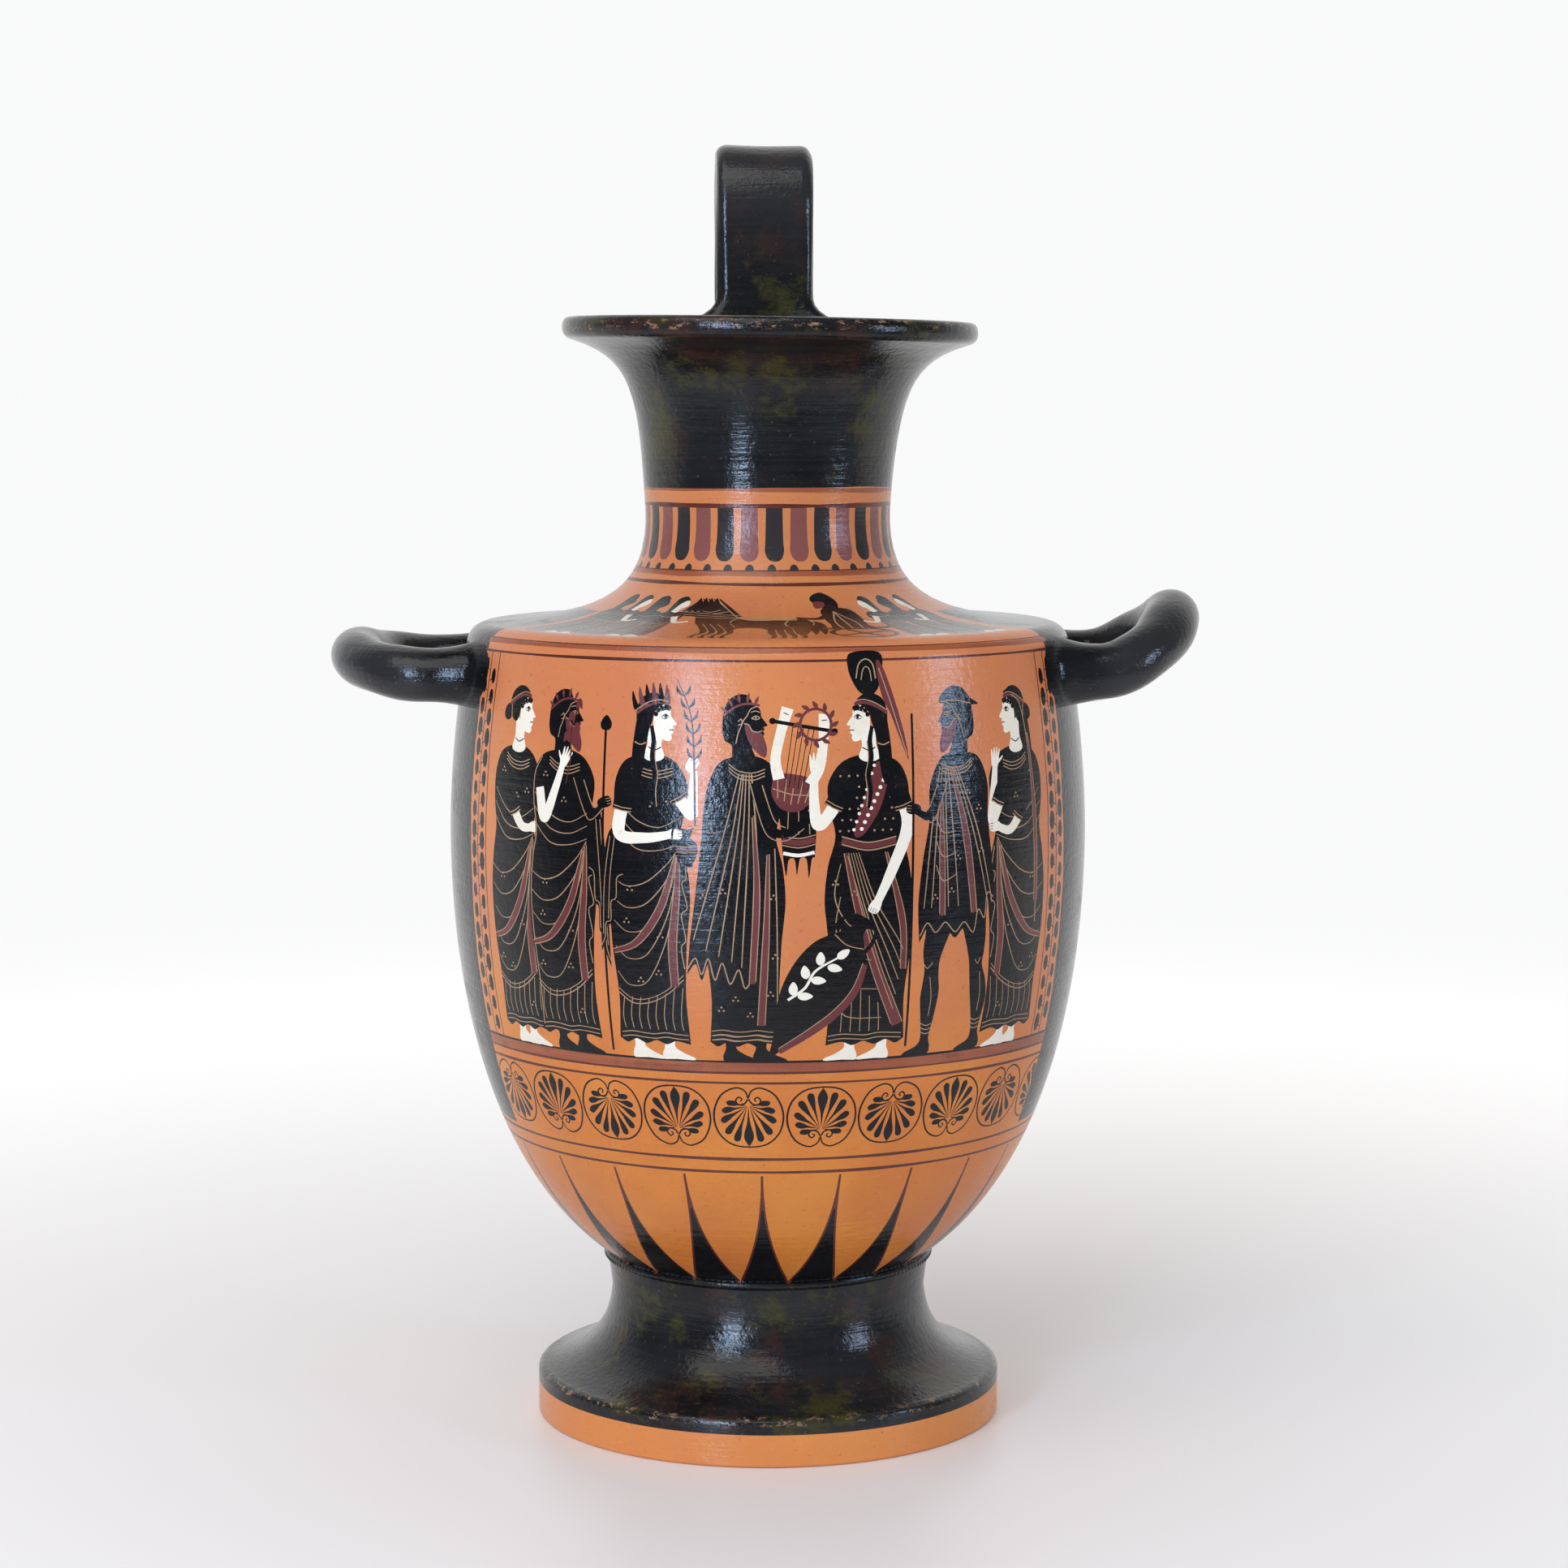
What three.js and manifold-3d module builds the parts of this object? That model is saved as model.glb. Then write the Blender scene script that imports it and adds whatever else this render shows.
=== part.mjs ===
// A hydria: a wheel-thrown pottery water jar with two bar handles at the sides and one strap
// handle at the back. Body, neck, foot and handles were joined as wet clay and fired as one
// piece, so the model is one solid. Millimetres, +Z up, the foot's centre at the origin, the
// painted front towards -Y.
import * as THREE from "three";
import { mergeVertices } from "three/addons/utils/BufferGeometryUtils.js";
import Module from "manifold-3d";

const wasm = await Module();
wasm.setup();

// Heights above the surface that the jar stands on.
const footRimTop = 18.2;
const footWaist = 48;
const footJoint = 60;
const bellyHeight = 220;
const wallTop = 289;
const shoulderEdge = 298;
const neckWaist = 338;
const lipUnderside = 401;
const lipTop = 409;
const strapTop = 478.6;

// Radii of the same stations.
const footRadius = 87;
const footWaistRadius = 58.9;
const footJointRadius = 60.4;
const bellyRadius = 118.4;
const wallTopRadius = 112;
const shoulderEdgeRadius = 105;
const neckRadius = 45.3;
const lipRadius = 76.8;

// The clay's thickness, the bead where the foot was luted on, and the hollow under the foot.
const wall = 6.3;
const jointBead = 1.6;
const floorTop = 64;
const footHollowTop = 55;
const footHollowRadius = 72;
const mouthRadius = 69.2;

// Facets: round the axis, along an outline's curves in millimetres, and on the handles.
const turns = 46;
const outerStep = 14;
const outerParts = 5;
const innerStep = 34;
const innerParts = 3;
const barSides = 14;
const barSteps = 20;
const strapSteps = 26;

// Side handles: a round bar bent to a loop, its tip pulled up. They were bent by hand and
// differ in thickness, reach and rise.
const sideHandles = [
  { side: -1, bar: 19.5, reach: 162.5, rootHeight: 280.5, rise: 5 },
  { side: 1, bar: 20.5, reach: 160.5, rootHeight: 281.5, rise: 18 },
];
const rootSpacing = 76;
const rootDepth = 100;
const rootSpread = 5;
const rootLength = 24;

// Strap handle: from the lip up, over, and down to the shoulder behind the neck.
const strapWidth = 37.6;
const strapThickness = 12;
const strapCorner = 4.5;
const strapLipReach = 72;
const strapBackReach = 107;
const strapShoulderReach = 89;
const strapTurn = THREE.MathUtils.degToRad(1.9);
const spurReach = 13;
const spurHeight = 11;
const spurHollow = 4;

// A solid of revolution from an outline of (radius, height) that starts and ends on the axis.
function turned(outline, step, fewest) {
  const points = [outline.curves[0].getPoint(0)];
  for (const curve of outline.curves) {
    const least = curve.isCubicBezierCurve ? fewest : 3;
    const parts = curve.isLineCurve ? 1 : Math.max(least, Math.round(curve.getLength() / step));
    for (let i = 1; i <= parts; i += 1) {
      points.push(curve.getPoint(i / parts));
    }
  }
  return solid(new THREE.LatheGeometry(points, turns).rotateX(Math.PI / 2));
}

// A closed geometry as a solid for cutting and joining.
function solid(geometry) {
  const bare = geometry.clone().deleteAttribute("normal").deleteAttribute("uv");
  const merged = mergeVertices(bare, 1e-3);
  const vertProperties = merged.attributes.position.array;
  const triVerts = new Uint32Array(merged.index.array);
  let made = new wasm.Manifold(new wasm.Mesh({ numProp: 3, vertProperties, triVerts }));
  if (made.volume() < 0) {
    for (let i = 0; i < triVerts.length; i += 3) {
      [triVerts[i + 1], triVerts[i + 2]] = [triVerts[i + 2], triVerts[i + 1]];
    }
    made = new wasm.Manifold(new wasm.Mesh({ numProp: 3, vertProperties, triVerts }));
  }
  return made;
}

// The jar without its hollows: foot, belly, shoulder, neck and lip in one outline.
function outside() {
  const outline = new THREE.Path();
  outline.moveTo(0, 0);
  outline.lineTo(footRadius - 1, 0);
  outline.lineTo(footRadius, 1);
  outline.lineTo(footRadius, footRimTop - 2.7);
  outline.quadraticCurveTo(footRadius, footRimTop - 0.4, footRadius - 3.5, footRimTop);
  outline.bezierCurveTo(71.5, 21.6, footWaistRadius + 0.9, 28.6, footWaistRadius, footWaist);
  outline.lineTo(footJointRadius, footJoint - jointBead);
  outline.absarc(footJointRadius, footJoint, jointBead, -Math.PI / 2, Math.PI / 2, false);
  outline.bezierCurveTo(106, 93.5, bellyRadius, 164, bellyRadius, bellyHeight);
  outline.bezierCurveTo(bellyRadius, 247, 114.5, 274.3, wallTopRadius, wallTop);
  outline.quadraticCurveTo(111.6, 296.6, shoulderEdgeRadius, shoulderEdge);
  outline.bezierCurveTo(59.5, 300.3, neckRadius, 310.2, neckRadius, neckWaist);
  outline.bezierCurveTo(48.2, 383.9, 51.75, 394.4, lipRadius - 3, lipUnderside);
  outline.quadraticCurveTo(lipRadius, lipUnderside + 1, lipRadius, lipTop - 4);
  outline.quadraticCurveTo(lipRadius, lipTop, lipRadius - 3, lipTop);
  outline.lineTo(0, lipTop);
  return turned(outline, outerStep, outerParts);
}

// The room inside, open at the mouth.
function inside() {
  const outline = new THREE.Path();
  outline.moveTo(0, floorTop);
  outline.lineTo(40, floorTop);
  outline.bezierCurveTo(76, 72, bellyRadius - wall, 160, bellyRadius - wall, bellyHeight);
  outline.bezierCurveTo(bellyRadius - wall, 243, 109.5, 268, wallTopRadius - wall, wallTop - 6);
  outline.quadraticCurveTo(104.6, 291, shoulderEdgeRadius - wall, shoulderEdge - wall);
  outline.bezierCurveTo(52, 295.5, neckRadius - wall, 307, neckRadius - wall, neckWaist);
  outline.bezierCurveTo(41, 384, 46, 403, mouthRadius, lipTop);
  outline.lineTo(0, lipTop);
  return turned(outline, innerStep, innerParts);
}

// The hollow under the foot, open below.
function underFoot() {
  const below = -5;
  const outline = new THREE.Path();
  outline.moveTo(0, below);
  outline.lineTo(footHollowRadius, below);
  outline.lineTo(footHollowRadius, 0);
  outline.bezierCurveTo(60, 8, 50, 22, 49, footHollowTop - 8);
  outline.quadraticCurveTo(48, footHollowTop, 38, footHollowTop);
  outline.lineTo(0, footHollowTop);
  return turned(outline, innerStep, innerParts);
}

// One side handle: both ends run into the wall, and the loop's tip rises.
function sideHandle({ side, bar, reach, rootHeight, rise }) {
  const half = rootSpacing / 2;
  const tip = reach - bar / 2;
  const corner = tip - 9;
  const place = (x, y, share) => new THREE.Vector3(side * x, y, rootHeight + share * rise);
  const route = new THREE.CatmullRomCurve3([
    place(rootDepth, -half, 0),
    place(rootDepth + 16, -half, 0),
    place(corner - 14, -half + 1, 0.08),
    place(corner, -half + 11, 0.5),
    place(tip, 0, 1),
    place(corner, half - 11, 0.5),
    place(corner - 14, half - 1, 0.08),
    place(rootDepth + 16, half, 0),
    place(rootDepth, half, 0),
  ]);
  const section = new THREE.Shape().absarc(0, 0, bar / 2, 0, 2 * Math.PI);
  const loop = new THREE.ExtrudeGeometry(section, {
    steps: barSteps,
    curveSegments: barSides / 2,
    bevelEnabled: false,
    extrudePath: route,
  });
  let made = solid(loop);
  for (const y of [-half, half]) {
    made = made.add(rootFlare(side, bar, y, rootHeight));
  }
  return made;
}

// The clay smoothed from the end of a bar onto the wall: a trumpet round the bar's axis.
function rootFlare(side, bar, y, z) {
  const outline = new THREE.Path();
  outline.moveTo(0, 0);
  outline.lineTo(bar / 2 + rootSpread, 0);
  outline.quadraticCurveTo(bar / 2 + 0.3, rootLength / 2, bar / 2, rootLength);
  outline.lineTo(0, rootLength);
  const trumpet = new THREE.LatheGeometry(outline.getPoints(4), barSides).rotateZ((-side * Math.PI) / 2);
  return solid(trumpet.translate(side * rootDepth, y, z));
}

// The strap's section: a flat bar with round corners, wide across the jar.
function strapSection() {
  const [w, t, c] = [strapWidth / 2, strapThickness / 2, strapCorner];
  const section = new THREE.Shape();
  section.absarc(w - c, t - c, c, 0, Math.PI / 2);
  section.absarc(-w + c, t - c, c, Math.PI / 2, Math.PI);
  section.absarc(-w + c, -t + c, c, Math.PI, 1.5 * Math.PI);
  section.absarc(w - c, -t + c, c, 1.5 * Math.PI, 2 * Math.PI);
  section.closePath();
  return section;
}

// The strap handle, bent in the plane through the jar's axis.
function strapHandle() {
  const crown = strapTop - strapThickness / 2;
  const bend = (strapBackReach - strapLipReach) / 2;
  const place = (y, z) => new THREE.Vector3(0, y, z);
  const route = new THREE.CurvePath();
  const stretches = [
    [place(strapLipReach - 2, 402), place(strapLipReach - 1, 420), place(strapLipReach, 440), place(strapLipReach, 452)],
    [place(strapLipReach, 452), place(strapLipReach, 466), place(strapLipReach + 6, crown), place(strapLipReach + bend, crown)],
    [place(strapLipReach + bend, crown), place(100, crown), place(strapBackReach, 464), place(strapBackReach, 450)],
    [place(strapBackReach, 450), place(strapBackReach, 400), place(strapBackReach - 3, 340), place(strapShoulderReach, 296)],
  ];
  for (const points of stretches) {
    route.add(new THREE.CubicBezierCurve3(...points));
  }
  const made = new THREE.ExtrudeGeometry(strapSection(), {
    steps: strapSteps,
    curveSegments: 1,
    bevelEnabled: false,
    extrudePath: route,
  });
  return solid(made.rotateZ(strapTurn)).add(strapSpurs());
}

// The clay drawn up from the lip onto both edges of the strap.
function strapSpurs() {
  const half = strapWidth / 2 - 1;
  const seat = lipTop - 3;
  const outline = new THREE.Shape();
  outline.moveTo(-half - spurReach, seat);
  outline.lineTo(half + spurReach, seat);
  outline.lineTo(half + spurReach, lipTop);
  outline.quadraticCurveTo(half + spurHollow, lipTop + spurHollow, half, lipTop + spurHeight);
  outline.lineTo(-half, lipTop + spurHeight);
  outline.quadraticCurveTo(-half - spurHollow, lipTop + spurHollow, -half - spurReach, lipTop);
  const depth = strapThickness - 4;
  const made = new THREE.ExtrudeGeometry(outline, { depth, curveSegments: 5, bevelEnabled: false });
  made.rotateX(Math.PI / 2).translate(0, strapLipReach, 0);
  return solid(made.rotateZ(strapTurn));
}

function jar() {
  const room = inside();
  let clay = outside().subtract(room).subtract(underFoot()).add(strapHandle());
  for (const handle of sideHandles) {
    clay = clay.add(sideHandle(handle).subtract(room));
  }
  const { vertProperties, triVerts } = clay.getMesh();
  const geometry = new THREE.BufferGeometry();
  geometry.setAttribute("position", new THREE.BufferAttribute(vertProperties, 3));
  geometry.setIndex(new THREE.BufferAttribute(triVerts, 1));
  geometry.computeVertexNormals();
  const glazedClay = new THREE.MeshStandardMaterial({ color: 0xb8622c, roughness: 0.45, metalness: 0 });
  const mesh = new THREE.Mesh(geometry, glazedClay);
  mesh.name = "hydria";
  return mesh;
}

const hydria = new THREE.Group();
hydria.add(jar());

export default hydria;
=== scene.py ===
import math

import bmesh
import bpy
import numpy as np
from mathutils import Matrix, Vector
from mathutils.geometry import delaunay_2d_cdt


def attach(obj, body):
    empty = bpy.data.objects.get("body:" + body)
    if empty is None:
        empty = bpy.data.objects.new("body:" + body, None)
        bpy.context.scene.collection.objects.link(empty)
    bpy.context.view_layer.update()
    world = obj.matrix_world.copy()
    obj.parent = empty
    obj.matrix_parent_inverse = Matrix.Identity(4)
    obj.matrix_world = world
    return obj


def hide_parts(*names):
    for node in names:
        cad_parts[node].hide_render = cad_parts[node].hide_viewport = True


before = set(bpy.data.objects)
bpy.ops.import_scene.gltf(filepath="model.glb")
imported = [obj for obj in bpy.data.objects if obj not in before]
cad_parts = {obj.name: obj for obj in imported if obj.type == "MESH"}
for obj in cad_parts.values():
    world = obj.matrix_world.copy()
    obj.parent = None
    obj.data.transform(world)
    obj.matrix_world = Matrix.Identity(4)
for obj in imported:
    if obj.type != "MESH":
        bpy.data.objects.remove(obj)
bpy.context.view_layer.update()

# The wall of the jar. It is thrown on a wheel in orange clay, as foot, belly, shoulder with neck, and
# lip, and the parts are luted together while damp. Its outside is one line, radius and height in
# millimetres, from the foot's edge up to the top of the lip, turned round the jar's axis.
foot_radius, foot_rim_top, foot_standing_edge = 87.0, 18.2, 1.0
foot_round_high, foot_round_deep = 2.7, 3.5
waist_radius, waist_height = 58.9, 48.0
joint_radius, joint_height, joint_bead = 60.4, 60.0, 1.6
belly_radius, belly_height = 118.4, 220.0
wall_top_radius, wall_top_height = 112.0, 289.0
shoulder_radius, shoulder_height = 105.0, 298.0
neck_radius, neck_height = 45.3, 338.0
lip_radius, lip_underside, lip_top, lip_round = 76.8, 401.0, 409.0, 3.0


def bend(*points, parts=40):
    """Points along a Bezier curve, the first one left out."""
    pull = np.array(points, float)
    n = len(pull) - 1
    t = np.linspace(0, 1, parts + 1)[1:, None]
    return sum(math.comb(n, i) * (1 - t) ** (n - i) * t**i * pull[i] for i in range(n + 1))


def outer_line():
    """The outside of the wall, from the foot's standing edge to the top of the lip."""
    bead = np.linspace(-math.pi / 2, math.pi / 2, 17)
    bead_line = (joint_radius, joint_height) + joint_bead * np.column_stack([np.cos(bead), np.sin(bead)])
    edge = foot_radius, foot_standing_edge
    edge_top = foot_radius, foot_rim_top - foot_round_high
    slope_start = foot_radius - foot_round_deep, foot_rim_top
    waist = waist_radius, waist_height
    bead_top = joint_radius, joint_height + joint_bead
    belly = belly_radius, belly_height
    wall_top = wall_top_radius, wall_top_height
    shoulder = shoulder_radius, shoulder_height
    neck = neck_radius, neck_height
    lip_start = lip_radius - lip_round, lip_underside
    lip_side = lip_radius, lip_top - 4
    return np.vstack([
        [edge],
        bend(edge, edge_top),
        bend(edge_top, (foot_radius, foot_rim_top - 0.4), slope_start),
        bend(slope_start, (71.5, 21.6), (waist_radius + 0.9, 28.6), waist),
        bend(waist, (joint_radius, joint_height - joint_bead), parts=8),
        bead_line[1:],
        bend(bead_top, (106, 93.5), (belly_radius, 164), belly, parts=160),
        bend(belly, (belly_radius, 247), (114.5, 274.3), wall_top, parts=80),
        bend(wall_top, (111.6, 296.6), shoulder),
        bend(shoulder, (59.5, 300.3), (neck_radius, 310.2), neck, parts=100),
        bend(neck, (48.2, 383.9), (51.75, 394.4), lip_start, parts=100),
        bend(lip_start, (lip_radius, lip_underside + 1), lip_side),
        bend(lip_side, (lip_radius, lip_top), (lip_radius - lip_round, lip_top)),
    ])


def length_along(line):
    """How far along a line each of its points lies."""
    return np.concatenate([[0], np.cumsum(np.linalg.norm(np.diff(line, axis=0), axis=1))])


outer = outer_line()
outer_radius, outer_height = outer.T
outer_run = length_along(outer)


def feed(tree, socket, value):
    """Gives a socket a number or a colour, or links it to another node's output."""
    if isinstance(value, bpy.types.NodeSocket):
        tree.links.new(value, socket)
    else:
        socket.default_value = value


def maths(tree, operation, *values):
    """One sum of numbers and other nodes' outputs."""
    node = tree.nodes.new("ShaderNodeMath")
    node.operation = operation
    for socket, value in zip(node.inputs, values):
        feed(tree, socket, value)
    return node.outputs[0]


def ramp(tree, value, low, high, start=0.0, end=1.0):
    """A smooth change from start to end, while the value goes from low to high."""
    node = tree.nodes.new("ShaderNodeMapRange")
    node.interpolation_type = "SMOOTHSTEP"
    for name, number in (("From Min", low), ("From Max", high), ("To Min", start), ("To Max", end)):
        node.inputs[name].default_value = number
    tree.links.new(value, node.inputs["Value"])
    return node.outputs["Result"]


def mixed(tree, share, first, second):
    """Two colours mixed by a share."""
    node = tree.nodes.new("ShaderNodeMix")
    node.data_type = "RGBA"
    for k, value in ((0, share), (6, first), (7, second)):
        feed(tree, node.inputs[k], value)
    return node.outputs[2]


def kiln_marks_and_sheen():
    """Masks of a brushed and wood-fired surface, of the places that years of use have worn, and of where
    painted sheen and light go.
    """
    group = bpy.data.node_groups.new("kiln_marks_and_sheen", "ShaderNodeTree")
    sizes = (("Cloud Size", 16.0), ("Blotch Size", 34.0), ("Streak Size", 210.0), ("Speck Size", 620.0))
    for name, size in sizes:
        socket = group.interface.new_socket(name, in_out="INPUT", socket_type="NodeSocketFloat")
        socket.default_value = size
    ins = group.nodes.new("NodeGroupInput")
    outs = group.nodes.new("NodeGroupOutput")
    where = group.nodes.new("ShaderNodeTexCoord").outputs["Object"]
    split = group.nodes.new("ShaderNodeSeparateXYZ")
    group.links.new(where, split.inputs[0])
    height = split.outputs["Z"]

    def noise(size, stretch, shift, detail, rough, low, high):
        spread = group.nodes.new("ShaderNodeMapping")
        spread.inputs["Scale"].default_value = stretch
        spread.inputs["Location"].default_value = (shift, 0.7 * shift, 0.3 * shift)
        group.links.new(where, spread.inputs["Vector"])
        cloud = group.nodes.new("ShaderNodeTexNoise")
        cloud.inputs["Detail"].default_value = detail
        cloud.inputs["Roughness"].default_value = rough
        group.links.new(spread.outputs["Vector"], cloud.inputs["Vector"])
        group.links.new(ins.outputs[size], cloud.inputs["Scale"])
        return ramp(group, cloud.outputs["Fac"], low, high)

    def near(edge_height, fades_at, full_at):
        off = maths(group, "ABSOLUTE", maths(group, "SUBTRACT", height, edge_height))
        return ramp(group, off, fades_at, full_at)

    worn_edges = maths(group, "MAXIMUM", near(0.0166, 0.0019, 0.0008), near(0.4062, 0.0024, 0.0010))
    chips = noise("Speck Size", (0.34, 0.34, 0.8), 9.0, 6, 0.8, 0.555, 0.60)
    side_handles = ramp(group, maths(group, "ABSOLUTE", split.outputs["X"]), 0.116, 0.130)
    masks = {
        "Cloud": noise("Cloud Size", (1, 1, 1), 0.0, 4, 0.55, 0.36, 0.66),
        "Blotch": noise("Blotch Size", (1, 1, 1.3), 3.0, 9, 0.76, 0.525, 0.66),
        "Flush": noise("Blotch Size", (0.8, 0.8, 1), 7.0, 9, 0.76, 0.535, 0.67),
        "Streak": noise("Streak Size", (0.14, 0.14, 2.6), 1.0, 4, 0.62, 0.34, 0.72),
        "Grain": noise("Streak Size", (2.0, 2.0, 2.0), 5.0, 3, 0.6, 0.25, 0.75),
        "Speck": noise("Speck Size", (1, 1, 1), 0.0, 2, 0.5, 0.66, 0.75),
        "Scuff": maths(group, "MULTIPLY", worn_edges, chips),
        "Ends": maths(group, "MAXIMUM", ramp(group, height, 0.075, 0.050), ramp(group, height, 0.335, 0.372)),
        # The upper wall's mask carries painted sheen.
        "Upper_sheen": ramp(group, height, 0.13, 0.21),
        "Neck": ramp(group, height, 0.306, 0.318),
        # The mask of the side handles and the strap's top carries painted sheen.
        "Handle_sheen": maths(group, "MAXIMUM", side_handles, ramp(group, height, 0.425, 0.465)),
    }
    for name, mask in masks.items():
        group.interface.new_socket(name, in_out="OUTPUT", socket_type="NodeSocketFloat")
        group.links.new(mask, outs.inputs[name])
    return group


marks = kiln_marks_and_sheen()
looks = {}


def fired(paint, name, base, shares, rough, bump, shine=0.5):
    """A fired finish: its own colour, what kiln, brush and use left over it, any painted sheen or light, its
    gloss and its relief.
    """
    made = bpy.data.materials.new(name)
    made.use_nodes = True
    tree = made.node_tree
    shader = tree.nodes["Principled BSDF"]
    shader.inputs["Specular IOR Level"].default_value = shine
    kiln = tree.nodes.new("ShaderNodeGroup")
    kiln.node_tree = marks
    colour = (*base, 1)
    for mask, over, share in shares:
        amount = share
        for part in mask.split("*"):
            amount = maths(tree, "MULTIPLY", kiln.outputs[part], amount)
        colour = mixed(tree, amount, colour, (*over, 1))
    tree.links.new(colour, shader.inputs["Base Color"])
    matt = maths(tree, "MULTIPLY_ADD", kiln.outputs["Blotch"], rough[1] - rough[0], rough[0])
    tree.links.new(matt, shader.inputs["Roughness"])
    rise = tree.nodes.new("ShaderNodeBump")
    rise.inputs["Strength"].default_value, rise.inputs["Distance"].default_value = bump
    tree.links.new(maths(tree, "ADD", kiln.outputs["Streak"], kiln.outputs["Grain"]), rise.inputs["Height"])
    tree.links.new(rise.outputs["Normal"], shader.inputs["Normal"])
    looks[paint] = made


fired("clay", "fired_clay", (0.56, 0.158, 0.027), [
    ("Cloud", (0.65, 0.225, 0.032), 0.85), ("Flush", (0.52, 0.125, 0.030), 0.45),
    ("Blotch", (0.64, 0.23, 0.036), 0.22), ("Streak", (0.60, 0.185, 0.045), 0.25),
    # Below, the upper wall's share is painted sheen, a paler and pinker haze. The share at the ends is
    # painted light, which makes the foot's clay edge brighter and pinker.
    ("Upper_sheen", (0.53, 0.185, 0.110), 0.45), ("Ends", (0.74, 0.27, 0.085), 0.45),
    ("Speck", (0.26, 0.06, 0.02), 0.4)], (0.24, 0.36), (0.22, 0.0003), 0.4)

# Bands and lines of slip. The jar turns on the wheel and the painter holds a loaded brush to it, so
# each line wanders a little. Thick slip fires to a black gloss, thin slip to brown or rust red. Every
# painted area is kept as an outline on the unrolled wall: u runs round the jar and v up the wall's line.
sheet_radius = 115.0
half_sheet = math.pi * sheet_radius
painted = []
wobble = np.random.default_rng(11)


def run_at(height):
    """How far up the wall's line a height lies."""
    return float(np.interp(height, outer_height, outer_run))


def across(degrees):
    """How far round the sheet an angle lies, from the middle of the jar's front."""
    return math.radians(degrees) * sheet_radius


def strip(paint, left_u, left_v, right_u, right_v):
    """An area between two edges that run the same way."""
    edges = np.column_stack([left_u, left_v]), np.column_stack([right_u, right_v])[::-1]
    painted.append((paint, np.vstack(edges)))


def wheel_turns(left, right):
    """Every second degree of the wheel's turn."""
    turns = np.arange(round(left), round(right) + 1, 2.0)
    turns[0], turns[-1] = left, right
    return turns


def waves(turns, heights):
    """Waves round the jar, as many to a turn as each key says."""
    turned = np.radians(turns)
    return sum(high * np.sin(turned * count + wobble.uniform(0, 6.28)) for count, high in heights.items())


def ring(paint, height, thick, left=-180.0, right=180.0, shake=0.12):
    """A line drawn while the wheel turns."""
    turns = wheel_turns(left, right)
    v = run_at(height) + waves(turns, {count: shake / count for count in (1, 2, 3, 5)})
    half = (thick + waves(turns, {count: 0.12 * thick for count in (4, 7, 11)})) / 2
    strip(paint, across(1) * turns, v - half, across(1) * turns, v + half)


def band(paint, low, high, left=-180.0, right=180.0, shake=0.15):
    """A broad band of slip between two heights; at the lip it goes on over the edge."""
    turns = wheel_turns(left, right)
    edges = []
    for height in (low, high):
        sway = waves(turns, {count: shake / count for count in (1, 2, 3, 5, 8)})
        edges.append(run_at(height) + sway + (3 if height >= lip_top else 0))
    strip(paint, across(1) * turns, edges[0], across(1) * turns, edges[1])


fired("glaze", "black_gloss", (0.0035, 0.0035, 0.0045), [
    ("Cloud", (0.011, 0.012, 0.013), 0.8), ("Cloud*Ends", (0.024, 0.023, 0.022), 0.3),
    ("Streak*Ends", (0.030, 0.030, 0.030), 0.3), ("Flush*Ends", (0.060, 0.022, 0.017), 0.75),
    ("Blotch*Ends", (0.066, 0.060, 0.010), 0.8), ("Flush", (0.018, 0.010, 0.009), 0.4),
    # Below, the share over the side handles and the strap's top is painted sheen, a grey haze.
    ("Blotch", (0.018, 0.018, 0.008), 0.4), ("Handle_sheen", (0.030, 0.029, 0.029), 0.7),
    ("Speck", (0.16, 0.10, 0.05), 0.30),
    ("Scuff", (0.40, 0.22, 0.13), 0.6)], (0.15, 0.28), (0.20, 0.0004), 0.36)
fired("brown", "thin_slip", (0.075, 0.016, 0.010), [
    ("Cloud", (0.15, 0.030, 0.015), 0.7),
    ("Blotch", (0.035, 0.010, 0.008), 0.6)], (0.26, 0.38), (0.25, 0.0003))
fired("rust", "thin_red", (0.24, 0.050, 0.024), [
    ("Cloud", (0.34, 0.090, 0.032), 0.8), ("Blotch", (0.15, 0.028, 0.018), 0.6),
    ("Streak", (0.42, 0.13, 0.04), 0.4)], (0.26, 0.38), (0.25, 0.0003))
band("glaze", 12.0, 61.2)

# The rays. Twenty-two long black spikes stand on the joint of foot and belly, painted freehand with a
# brown edge where the slip is thin. Two thin lines close the zone above their tips.
fired("black", "black_slip", (0.0035, 0.0035, 0.0045), [
    ("Cloud", (0.007, 0.007, 0.008), 0.8), ("Flush", (0.013, 0.007, 0.007), 0.5),
    ("Blotch", (0.011, 0.011, 0.008), 0.4), ("Streak", (0.010, 0.009, 0.010), 0.4),
    ("Neck", (0.045, 0.037, 0.037), 0.7),
    ("Speck", (0.08, 0.04, 0.025), 0.30)], (0.17, 0.26), (0.22, 0.0003), 0.36)
ray_count, ray_foot, ray_height, ray_half_width, ray_edge = 22, 61.0, 47.6, 8.75, 0.85


def widen(height):
    """How much wider a thing is on the unrolled sheet than on the wall."""
    return sheet_radius / float(np.interp(height, outer_height, outer_radius))


def ray(u):
    """One spike: first its brown edge, then the thick black over it."""
    t = np.linspace(0, 1, 18)
    heights = ray_foot + ray_height * t
    v = np.array([run_at(height) for height in heights])
    scale = np.array([widen(max(height, ray_foot + 1.5)) for height in heights])
    for paint, half, inset in (("brown", ray_half_width, 0.0), ("black", ray_half_width - 0.65, ray_edge)):
        width = np.maximum(half * (1 - t) ** 2.15 + 0.42 - inset * (0.35 + 0.65 * t), 0.04) * scale
        some = width > 0.1
        strip(paint, u - width[some], v[some], u + width[some], v[some])


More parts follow.
